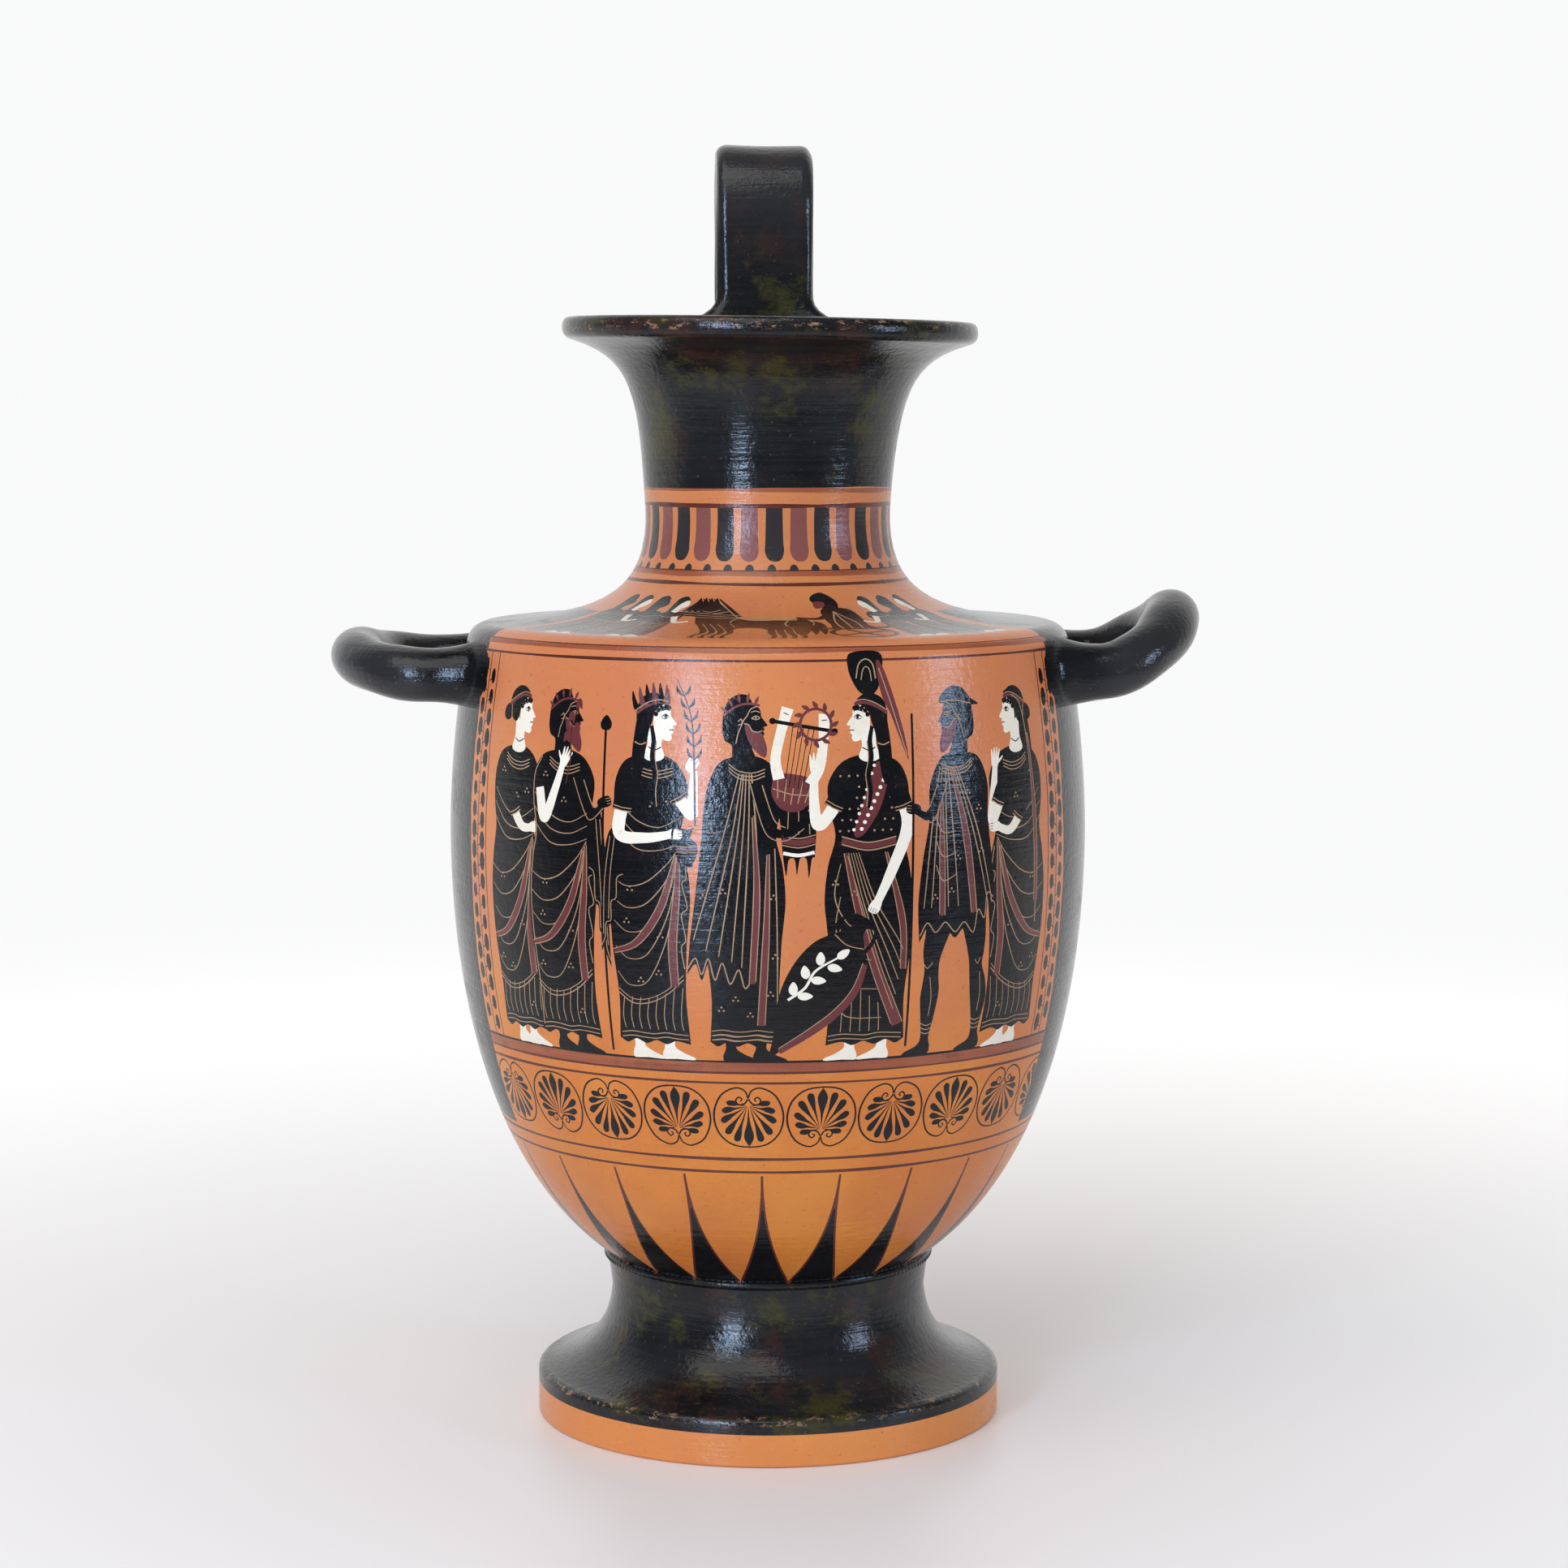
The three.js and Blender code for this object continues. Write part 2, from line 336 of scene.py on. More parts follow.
for k in range(ray_count):
    ray((across(360 / ray_count * k - 1) + half_sheet) % (2 * half_sheet) - half_sheet)
for height in (110.0, 115.2):
    ring("brown", height, 1.1)

# The black sides and back, the black neck and the lip. Only the picture's panel is left in bare clay:
# round it the jar is brushed black, first an outline of each area and then its inside. A soft rust
# line shows under the neck's black, where its first thin coat runs past the thick one.
half_panel, half_shoulder_panel = 64.5, 63.5


def black_side(low, high, edge):
    """Both halves of the black back, from the panel's edges to the seam of the sheet."""
    heights = [run_at(low), run_at(high)]
    rows = np.linspace(*heights, 40)
    sway = 0.25 * np.sin(rows / 9.0) + 0.15 * np.sin(rows / 3.1)
    for side in (1, -1):
        strip("glaze", side * across(edge) + sway, rows, [side * half_sheet] * 2, heights)


black_side(117.2, 291.5, half_panel)
black_side(291.0, 303.4, half_shoulder_panel)
ring("rust", 347.4, 1.7, shake=0.45)
band("glaze", 347.8, lip_top, shake=0.5)

# The palmettes. Eleven closed palmettes under the picture stand upright and upside down by turns, each
# a fan of petals on two scrolls, in a heart-shaped line. The painter draws them with the tip of a brush.
palmette_gap, palmette_shift, palmettes_low, palmettes_high = 13.8, 3.4, 119.6, 142.6


def smooth(points, closed=False, step=0.7):
    """A curve through the points; a point given twice makes a corner."""
    p = np.asarray(points, float)
    q = np.vstack([p[-1], p, p[0], p[1]]) if closed else np.vstack([p[0], p, p[-1]])
    found = []
    for a, b, c, d in zip(q[:-3], q[1:-2], q[2:-1], q[3:]):
        length = math.dist(b, c)
        if length > 1e-6:
            t = np.linspace(0, 1, int(length / step) + 2)[:-1, None]
            square, cube = 2 * a - 5 * b + 4 * c - d, 3 * b - a - 3 * c + d
            found.append(0.5 * (2 * b + (c - a) * t + square * t**2 + cube * t**3))
    if not closed:
        found.append(p[-1:])
    return np.vstack(found)


def ribbon(points, widths, step=0.7):
    """The outline of a brush stroke along the points, as wide as the widths say on the way."""
    middle = smooth(points, step=step)
    run = length_along(middle)
    half = np.interp(run / run[-1], np.linspace(0, 1, len(widths)), widths) / 2
    way = np.gradient(middle, axis=0)
    way /= np.maximum(np.hypot(*way.T), 1e-9)[:, None]
    out = np.column_stack([-way[:, 1], way[:, 0]]) * half[:, None]
    return np.vstack([middle + out, (middle - out)[::-1]])


def spot(u, v, wide=1.0, high=1.0, turn=0.0):
    """A place on the sheet to draw at, with its own width, height and turn."""
    c, s = math.cos(math.radians(turn)), math.sin(math.radians(turn))

    def place(points):
        x, y = np.asarray(points, float).T
        return np.column_stack([u + wide * (x * c - y * s), v + high * (x * s + y * c)])
    return place


def lay(place, paint, outline):
    painted.append((paint, place(outline)))


def fill(place, paint, points, step=0.7):
    """A filled area with a smooth outline."""
    lay(place, paint, smooth(points, closed=True, step=step))


def line(place, paint, points, *widths):
    """A brush stroke."""
    lay(place, paint, ribbon(points, widths))


def mirrored(half):
    """A shape's right half, and the left half after it: points on the middle line come once."""
    return half + [(-x, y) for x, y in half[::-1] if x]


def palmette(u, v, up):
    """A middle petal and five more on each side, over a scroll each, in the heart-shaped line."""
    place = spot(u, v, widen((palmettes_low + palmettes_high) / 2 - 0.1), 1 if up else -1)
    heart = [(0, -7.6), (1.2, -10.6), (4.6, -11.6), (9.4, -8.6), (12.1, -1.6), (11.0, 5.6), (6.6, 10.4),
             (0, 11.7)]
    line(place, "black", mirrored(heart) + heart[:1], 0.55, 0.7, 0.6, 0.75, 0.55)
    petals = ((17, 14.6, 2.9), (35, 13.4, 2.9), (54, 11.4, 2.8), (74, 9.2, 2.7), (97, 7.2, 2.5))
    for side in (-1, 1):
        scroll = [(0.1, -7.4), (1.3, -5.6), (3.4, -5.2), (4.3, -6.8), (3.2, -8.1), (2.1, -7.2), (2.9, -6.5)]
        line(place, "black", [(side * x, y) for x, y in scroll], 0.6, 0.65, 0.5)
        root = np.array([side * 0.35, -4.6])
        for turn, length, wide in petals:
            a = math.radians(turn)
            way = np.array([side * math.sin(a), math.cos(a)])
            out = np.array([way[1], -way[0]]) * side
            droop = np.array([0, -0.5 if turn > 40 else 0])
            petal = [(0, 0, 0), (0.45 * length, 0.35, 0.5), (length - 2.6, 0.42 * wide, 1),
                     (length - 0.6, 0.34 * wide, 1), (length + 0.1, 0, 1), (length - 0.7, -0.42 * wide, 1),
                     (length - 2.9, -0.40 * wide, 1), (0.5 * length, -0.42, 0.5)]
            fill(place, "black", [root + way * far + out * aside + droop * low for far, aside, low in petal])
    fill(place, "black", mirrored([(0, -4.0), (0.5, 1.5), (1.7, 6.4), (1.5, 8.9), (0, 11.4), (0, 11.4)]))


palmettes_v = (run_at(palmettes_low) + run_at(palmettes_high)) / 2
for k in range(-5, 6):
    palmette(across(palmette_gap * k - palmette_shift), palmettes_v, k % 2 == 1)

# The frame of the picture. Under it runs a rust band that the figures stand on, between thin lines,
# above it a rust line and its brown edges, and down each side a strip of black ivy leaves on short
# stalks, in two rows between two lines. It is all brushed on the bare clay.
ivy_edge, ivy_low, ivy_high, ivy_gap, ivy_rows = 58.0, 152.2, 290.6, 7.4, ((3.4, 0.0, -1), (9.9, 3.7, 1))


def panel_ring(paint, height, thick):
    ring(paint, height, thick, -half_panel, half_panel)


panel_ring("brown", 143.8, 0.9)
band("rust", 147.6, 152.0, -half_panel, half_panel)
panel_ring("brown", 147.6, 0.8)
panel_ring("black", 151.7, 0.8)
panel_ring("brown", 290.8, 0.9)
panel_ring("rust", 294.3, 1.9)
panel_ring("brown", 295.4, 0.5)


def ivy(side):
    """One strip of ivy, up the left or the right edge of the panel."""
    start_u = side * across(ivy_edge)
    low, high = run_at(ivy_low), run_at(ivy_high)
    rows = np.linspace(low, high, 34)
    for off in (0.4, 6.7):
        u = start_u + side * off + 0.12 * np.sin(rows / 7 + off)
        strip("brown", u - 0.3, rows, u + 0.3, rows)
    for k in range(int((high - low - 4) / ivy_gap)):
        v = low + 4.4 + ivy_gap * k
        grow = 1 + 0.12 * math.sin(5.1 * k + side)
        for off, lift, way in ivy_rows:
            place = spot(start_u + side * off, v + lift, side * way * grow, grow)
            fill(place, "black", [(-1.7, 0.6), (-1.0, 2.6), (0.5, 3.0), (1.5, 1.2), (1.5, -1.2), (0.5, -3.0),
                                  (-0.9, -2.4), (-1.6, -0.9)])
            line(place, "black", [(-3.0, -1.9), (-2.0, -1.5), (-0.9, -0.7)], 0.4)


ivy(-1)
ivy(1)

# The foot of the neck. A ring of tongues hangs there, black and dull red by turns, over a row of black
# dots, with a brown line above and rust and brown lines below. Red is iron-rich clay, laid over the slip.
fired("purple", "added_red", (0.125, 0.023, 0.024), [
    ("Cloud", (0.17, 0.038, 0.035), 0.7), ("Blotch", (0.085, 0.017, 0.019), 0.5),
    ("Neck", (0.27, 0.092, 0.075), 0.6), ("Speck", (0.26, 0.11, 0.08), 0.25)], (0.28, 0.40), (0.25, 0.0003))
dot_count, dots_height = 38, 319.3
tongue_count, tongue_low, tongue_high, tongue_shift = 32, 322.0, 341.6, 3.2
ring("brown", 314.1, 1.4)
ring("rust", 317.7, 2.3)
ring("brown", 318.7, 0.5)
for k in range(dot_count):
    place = spot(across(360 / dot_count * k - 180 + 2), run_at(dots_height), widen(dots_height + 0.2))
    fill(place, "black", [(-1.5, -0.5), (-1.3, 1.0), (0, 1.9), (1.3, 1.0), (1.5, -0.5), (0, -0.8)])
for k in range(tongue_count):
    low = run_at(tongue_low)
    top = run_at(tongue_high) - low
    place = spot(across(360 / tongue_count * k - 180 + tongue_shift), low, widen(332))
    fill(place, "purple" if k % 2 else "black",
         [(0.1, 0), (-2.1, 0.9), (-3.35, 3.9), (-3.2, 8), (-3.0, top), (-3.0, top), (3.0, top), (3.0, top),
          (3.2, 8), (3.4, 3.7), (2.3, 0.8)])
ring("brown", 341.9, 1.5)

# The heads of the picture's figures. Men are black all over, women have white skin of fine chalky clay
# laid over the black, and hair, ties and beards have touches of dull red. Last of all, a point cuts the
# fine lines through the slip down to the clay. The faces are the painter's stock profile.
fired("white", "added_white", (0.78, 0.70, 0.575), [
    ("Cloud", (0.74, 0.645, 0.50), 0.6), ("Blotch", (0.66, 0.54, 0.40), 0.35),
    ("Speck", (0.45, 0.30, 0.20), 0.3)], (0.36, 0.5), (0.3, 0.0003))
fired("cream", "cut_line", (0.33, 0.19, 0.095), [
    ("Cloud", (0.46, 0.30, 0.17), 0.7), ("Blotch", (0.22, 0.11, 0.055), 0.6)], (0.40, 0.50), (0.25, 0.0003))
picture_floor, figure_height, head_lift = 151.9, 0.945, 106.2
profile = [
    (2.2, 16.2), (4.0, 15.2), (4.6, 13.8), (4.7, 12.6), (6.5, 10.3), (6.2, 9.8), (5.3, 9.6), (5.7, 8.9),
    (5.2, 8.4), (5.6, 7.7)]
crown = [(3.9, 15.4), (3.0, 17.6), (0.6, 19.2), (-2.6, 19.2), (-5.4, 17.4), (-6.6, 14.2)]


def dot(place, paint, x, y, radius, sides=8):
    turn = np.arange(sides) * 2 * math.pi / sides
    lay(place, paint, np.column_stack([x + radius * np.cos(turn), y + radius * np.sin(turn)]))


def figure(u, way=1):
    """A place for a figure that stands on the picture's floor and looks right, or with -1 left."""
    return spot(u, run_at(picture_floor), way, figure_height)


def head(u, way=1):
    return spot(u, run_at(picture_floor) + head_lift, way * 1.13, 1.15)


def woman_head(place, bun=False):
    """A white face, and black hair that hangs in a long lock or is tied up behind, under a red tie."""
    cheek = [
        (4.9, 7.0), (5.1, 5.9), (4.2, 5.0), (2.4, 5.4), (0.6, 6.6), (-0.6, 8.6), (-0.9, 11.5), (0.2, 14.6)]
    fill(place, "white", profile + cheek, step=0.5)
    fill(place, "white", [(-2.4, 9.5), (1.9, 7.0), (1.9, 3.8), (2.9, 0.2), (0, -1.2), (-3.6, 0), (-2.6, 4)])
    lay(place, "black", ribbon([(1.5, 12.2), (2.9, 13.0), (4.2, 12.3)], [0.15, 0.42, 0.15], step=0.4))
    lay(place, "black", ribbon([(1.7, 12.0), (2.9, 11.65), (4.0, 12.2)], [0.12, 0.3, 0.12], step=0.4))
    dot(place, "black", 3.0, 12.35, 0.5)
    line(place, "black", [(1.3, 13.9), (3.0, 14.5), (4.3, 14.0)], 0.25, 0.45, 0.2)
    line(place, "black", [(4.2, 8.35), (5.5, 8.45)], 0.3)
    if bun:
        fill(place, "black", crown + [
            (-6.0, 10.8), (-4.0, 8.6), (-2.4, 8.4), (-1.3, 10.4), (-0.8, 13), (0.8, 15.0), (2.4, 15.8)])
        fill(place, "black", [(-5.6, 13), (-7.4, 13.6), (-9.2, 12.0), (-9.3, 9.6), (-7.4, 8.4), (-5.4, 9.6)])
        line(place, "cream", [(-5.8, 13.4), (-5.3, 9.4)], 0.35)
    else:
        fill(place, "black", crown + [
            (-6.6, 10.8), (-7.2, 6), (-7.6, 0), (-7.0, -6), (-5.2, -8.0), (-3.9, -4), (-3.2, 2), (-2.3, 8),
            (-1.3, 10.8), (-0.8, 13.4), (0.8, 15.1), (2.4, 15.9)])
        line(place, "black", [(-1.5, 9.5), (-0.6, 5), (-0.9, 0), (0.1, -5), (-0.4, -10), (0.3, -15)],
             1.2, 1.6, 1.5, 1.5, 0.9)
        line(place, "cream", [(0.3, 5), (0.0, 0), (1.0, -5), (0.5, -10), (0.9, -14.6)], 0.3)
        line(place, "cream", [(-6.9, 4.6), (-5.0, 3.8), (-3.1, 4.4)], 0.35)
    for x, y in ((3.9, 15.0), (2.9, 15.2), (1.6, 14.9), (0.5, 14.2), (-0.2, 13.0)):
        dot(place, "black", x, y, 0.75)
    line(place, "purple", [(3.9, 16.2), (0.6, 16.6), (-3.2, 15.4), (-6.6, 13.2)], 0.9)
    line(place, "cream", [(3.7, 17.0), (0.8, 17.5), (-3.0, 16.3), (-6.5, 14.2)], 0.3)
    line(place, "black", [(-2.3, 3.2), (-0.4, 2.2), (1.9, 3.2)], 0.35)


def man_head(place, wreath=True):
    """A black head with a red beard, most often with a red wreath."""
    nape = [(4.9, 6.4), (3.8, 5.2), (1.9, 5.4), (2.0, 3.0), (2.9, 0.2), (0, -1.2), (-3.8, 0), (-4.2, 4),
            (-6.4, 5.6), (-7.2, 9), (-6.8, 14.2), (-5.4, 17.4), (-2.6, 19.2), (0.6, 19.0)]
    fill(place, "black", [(2.2, 16.4)] + profile[1:] + nape, step=0.5)
    fill(place, "purple", [(4.6, 7.9), (5.4, 6.6), (6.4, 3.2), (5.9, 0.6), (4.0, 1.4), (1.6, 4.0), (0.2, 7.0),
                           (-0.4, 10.2), (0.6, 10.6), (1.8, 8.6), (3.4, 8.2)])
    line(place, "cream", [(-0.6, 10.6), (0.9, 10.2), (1.9, 8.5), (3.6, 8.1), (5.0, 8.5)], 0.3)
    eye = [(1.7, 12.2), (3.0, 12.9), (4.2, 12.3), (3.0, 11.8), (1.7, 12.2)]
    lay(place, "cream", ribbon(eye, [0.26], step=0.4))
    dot(place, "cream", 3.0, 12.35, 0.3, sides=6)
    line(place, "cream", [(1.5, 14.0), (3.0, 14.4), (4.3, 13.9)], 0.25)
    line(place, "cream", [
        (3.6, 15.9), (1.4, 14.9), (0.4, 13.0), (-0.7, 11.6), (-1.6, 9.4), (-2.4, 7.6), (-3.0, 4.6)], 0.3)
    line(place, "cream", [(-2.4, 11.2), (-1.4, 12.0), (-1.2, 10.6), (-2.2, 10.2)], 0.3)
    if wreath:
        line(place, "purple", [(4.2, 16.0), (0.6, 16.6), (-3.2, 15.6), (-7.0, 12.8)], 0.7)
        for x, y, lean in ((3.2, 17.4, 60), (0.6, 18.2, 75), (-2.2, 18.0, 100), (-4.8, 16.8, 125),
                           (-6.6, 14.6, 150)):
            c, s = math.cos(math.radians(lean)), math.sin(math.radians(lean))
            line(place, "purple", [(x - 1.0 * c, y - 1.2 * s), (x + 1.3 * c, y + 1.6 * s)], 0.5, 1.1, 0.2)


# Limbs and dress, which most of the figures share. Feet, arms and hands are black or white. The long
# robe and the mantle wound over it are one black area, and their folds, pleats, borders and rosettes are
# cut lines, with a red stripe here and there.
def foot(place, paint, x):
    fill(place, paint, [
        (x - 3.2, 0.3), (x - 3.4, 2.2), (x - 2.4, 5.0), (x - 2.2, 9), (x + 1.6, 9), (x + 1.4, 5.2),
        (x + 4.2, 2.9), (x + 8.0, 1.2), (x + 8.8, 0.5), (x + 8.0, 0.0), (x + 2, 0.25), (x - 2, 0.0)])


def arm(place, paint, points, widths=(4.6, 4.2, 3.6, 3.0, 2.3)):
    line(place, paint, points, *widths)


def upon(place, x, y, turn):
    """A place to draw at inside another place."""
    inner = spot(x, y, turn=turn)

    def both(points):
        return place(inner(points))
    return both


def open_hand(place, paint, x, y, lean):
    """Palm and four fingers reaching out from the wrist, and the thumb beside them."""
    wrist = upon(place, x, y, lean)
    fill(wrist, paint, [(-0.6, 1.1), (2.0, 1.9), (3.6, 1.6), (3.6, -1.5), (2.0, -1.8), (-0.6, -1.1)])
    for k, reach in enumerate((3.0, 3.6, 3.3, 2.6)):
        start = 1.35 - 0.9 * k
        finger = [(3.0, start), (3.4 + reach, start * 1.5 + 0.2)]
        lay(wrist, paint, ribbon(finger, [0.95, 0.8, 0.35], step=1))
    lay(wrist, paint, ribbon([(1.4, 1.4), (2.8, 3.0), (3.9, 3.9)], [1.1, 0.9, 0.4], step=1))


def fist(place, paint, x, y, lean):
    """A closed hand, with its fingers parted by short lines."""
    wrist = upon(place, x, y, lean)
    fill(wrist, paint, [
        (-0.8, 1.2), (1.4, 2.1), (3.9, 1.9), (4.5, 0.6), (4.2, -1.3), (2.4, -2.0), (-0.8, -1.2)])
    parting = "black" if paint == "white" else "cream"
    for k in range(3):
        line(wrist, parting, [(2.6, 1.1 - 1.0 * k), (4.2, 1.0 - 1.0 * k)], 0.22)


def rosette(place, x, y):
    for right, up in ((0, 0.85), (0.85, -0.45), (-0.85, -0.45)):
        dot(place, "cream", x + right, y + up, 0.4, sides=6)


def hem(place, left, right, low, rows=3):
    """The robe's border: wavy lines one above the other."""
    for k in range(rows):
        edge = np.linspace(left + 0.3, right - 0.3, 7)
        line(place, "cream", [(x, low + 1.7 * k + 0.8 * (0.5 * math.sin(2.1 * j + left) - 0.25))
                              for j, x in enumerate(edge)], 0.35)


def stripe(place, points, *widths):
    """A red fold with a cut line along each edge."""
    outline = ribbon(points, widths)
    lay(place, "purple", outline)
    half = len(outline) // 2
    for edge in (outline[:half], outline[half:]):
        lay(place, "cream", ribbon(edge[::4] if len(edge) > 12 else edge, [0.32], step=1.2))


def wider(points, w):
    return [(x * w, y) for x, y in points]


def robe(place, w=1.0, back_line=False):
    """A long robe under a mantle: full at the shoulders and hips, drawn in above the feet."""
    back = [
        (-8.4, 111.0), (-11.2, 104), (-11.4, 94), (-10.0, 83), (-11.4, 73), (-12.6, 60), (-12.4, 44),
        (-11.0, 24)]
    edge = [
        (-11.8, 7.6), (-11.8, 7.6), (-9.4, 5.8), (-6.4, 7.4), (-3.2, 5.8), (0, 7.2), (3.2, 5.8), (6.2, 7.2),
        (10.6, 6.0), (10.6, 6.0)]
    front = [(9.8, 24), (10.4, 44), (11.6, 60), (10.8, 73), (8.8, 84), (10.2, 94), (10.6, 103), (7.4, 110.4)]
    fill(place, "black", [(-3.4, 113.4)] + wider(back + edge + front, w) + [(3.4, 113.4), (0, 112.4)],
         step=0.8)
    if back_line:
        line(place, "cream", wider([(-8.4, 110.6), (-11.0, 104), (-11.0, 94), (-9.6, 83), (-11.0, 73),
                                    (-12.0, 60), (-11.6, 44), (-10.5, 24), (-11.0, 9)], w), 0.35)
    hem(place, -11.2 * w, 10.2 * w, 8.4, rows=2)


def mantle_folds(place, w, skip):
    """A mantle wound round the hips, its folds fanning out from the front hand, over the robe's pleats."""
    for k in range(3):
        line(place, "cream", wider([(-10.6, 97 - 5.2 * k), (-4.5, 89.5 - 5.2 * k), (2.5, 87 - 4.2 * k),
                                    (8.8, 91 - 4.8 * k)], w), 0.22, 0.4, 0.22)
    for k, drop in enumerate((4, 12, 21, 31, 41)):
        fold = [(8.4 * w, 80.5 - 0.6 * k), (5.4 * w, 77 - 0.66 * drop), (-1.0 * w, 71 - 0.98 * drop),
                (-7.2 * w, 69 - drop), (-12.0 * w + 0.3 * k, 72 - 0.95 * drop)]
        line(place, "cream", fold, 0.22, 0.4, 0.4, 0.22)
    edge = wider([(9.2, 31), (4.6, 25.5), (-1.0, 21.8), (-6.6, 21.2), (-11.0, 25.0)], w)
    line(place, "cream", edge, 0.4)
    line(place, "cream", [(x, y + 1.6) for x, y in edge], 0.3)
    for k in range(8):
        x = (-9.8 + 2.6 * k) * w
        top = 23.5 if k < 3 else 22.0 + 1.15 * (k - 2)
        line(place, "cream", [(x + 0.6, top), (x - 0.4, 16.5), (x + 0.3, 11.4)], 0.3)
    stripe(place, wider([(7.4, 77), (3.0, 58), (-4.4, 44.5), (-11.9, 40.5)], w), 0.6, 2.4, 2.8, 1.6)
    stripe(place, wider([(8.2, 79), (7.6, 62), (6.2, 44), (6.6, 28)], w), 0.8, 2.2, 3.0, 2.8)
    line(place, "cream", wider([(9.6, 77), (10.5, 69), (9.2, 66.5), (10.7, 58), (9.0, 55), (10.1, 46),
                                (8.8, 43), (9.6, 35)], w), 0.35)
    rosettes = wider(((-6.4, 64), (-8.6, 33), (-3.8, 30), (1.8, 33), (2.6, 47), (-6.8, 104), (5.2, 97),
                      (-7.6, 52), (0.4, 95), (4.6, 16)), w)
    for k, (x, y) in enumerate(rosettes):
        if (k + skip) % 4:
            rosette(place, x, y)


def tail(place, x, y, length, wide):
    """A hanging corner of the mantle, whose edge falls in steps; a wide below 0 hangs it to the left."""
    def down(points):
        return [(x + wide * aside, y - length * drop) for aside, drop in points]
    steps = down([(0.95, 1.0), (0.72, 0.9), (0.66, 0.78), (0.44, 0.75), (0.42, 0.6), (0.2, 0.56), (0.16, 0.4),
                  (-0.1, 0.36)])
    fill(place, "black", down([(-0.1, 0.0), (0.5, -0.03), (0.8, 0.25), (0.9, 0.6), (0.95, 1.0)]) + steps,
         step=0.6)
    line(place, "cream", [(px + math.copysign(0.5, wide), py + 1.1) for px, py in steps], 0.35)
    line(place, "cream", down([(0.3, 0.02), (0.5, 0.35), (0.6, 0.72)]), 0.3)
    line(place, "cream", down([(0.5, 0.02), (0.74, 0.4), (0.84, 0.85)]), 0.3)


def neckline(place, w=1.0):
    for k in range(3):
        line(place, "cream", [(-6.8 * w, 110.6 - 1.2 * k), (-3, 108.2 - 1.3 * k), (2, 107.4 - 1.3 * k),
                              (6.8 * w, 108.8 - 1.2 * k)], 0.35)


def sleeve(place, start, end, wide):
    """The dress's short sleeve over the top of an arm, with a double border."""
    a, b = np.array(start, float), np.array(end, float)
    lay(place, "black", ribbon([a, (a + b) / 2, b], [wide * 0.85, wide, wide * 0.96]))
    way = (b - a) / math.dist(a, b)
    out = np.array([-way[1], way[0]]) * wide * 0.46
    for back in (0.35, 1.5):
        line(place, "cream", [b - way * back + out, b - way * (back - 0.3), b - way * back - out], 0.38)


# The left of the picture. A woman with her hair tied up, a man with a staff and a woman with a jug look
# to the right. Each is painted over the last, in black slip with white and red, and then cut with fine
# lines. A call says how far from the front's middle its figure stands.
def sprig_woman(at):
    """She has her hair tied up, and holds one hand before her."""
    her = figure(at)
    foot(her, "white", -3.0)
    foot(her, "white", 3.4)
    robe(her, 1.14)
    mantle_folds(her, 1.14, skip=1)
    neckline(her, 0.95)
    woman_head(head(at + 0.4), bun=True)
    arm(her, "white", [(-2, 92), (3.5, 84.0), (9.0, 83.6)], (4.4, 3.8, 2.8))
    fist(her, "white", 8.4, 83.6, 8)
    sleeve(her, (-3.4, 95.5), (0.4, 88.2), 6.2)


def staff_man(at, woman_at):
    """He leans on a staff; the woman behind him lifts a flower sprig past his shoulder."""
    him = figure(at)
    foot(him, "black", -4.2)
    foot(him, "black", 5.0)
    robe(him, 1.24, back_line=True)
    mantle_folds(him, 1.24, skip=2)
    tail(him, 11.8, 90, 56, 8.0)
    neckline(him)
    man_head(head(at - 0.2))
    line(him, "black", [(17.4, 2), (17.2, 60), (16.8, 122)], 0.9)
    knob = spot(at + 16.8, run_at(picture_floor) + 116.2)
    fill(knob, "black", [(-1.5, -1), (-2.2, 1.4), (0, 4.0), (2.2, 1.4), (1.5, -1)])
    beside = figure(woman_at)
    arm(beside, "white", [(12.5, 99), (15.2, 88), (20.0, 99.5), (22.6, 108)], (3.8, 4.2, 3.4, 2.4))
    open_hand(beside, "white", 22.7, 108, 66)
    line(beside, "brown", [(24.4, 101.0), (26.0, 110), (25.6, 121), (28.0, 129)], 0.5)
    for x, y in ((23.8, 118), (28.0, 121.5), (25.4, 125.4), (28.4, 130.4)):
        bud = spot(woman_at + x, run_at(picture_floor) + figure_height * y)
        fill(bud, "purple", [(-1.3, -1.5), (-1.2, 1.2), (0, 2.3), (1.2, 1.2), (1.3, -1.5), (0, -0.8)])
    arm(him, "black", [(6.5, 103), (12.5, 91), (17.2, 95)])
    line(him, "cream", [(4.4, 103.5), (9.8, 90.5), (12.6, 88.6), (17.0, 93.0)], 0.35)
    line(him, "cream", [(8.8, 103), (13.0, 93.4), (15.6, 95.0)], 0.35)
    fist(him, "black", 15.8, 94.6, 20)


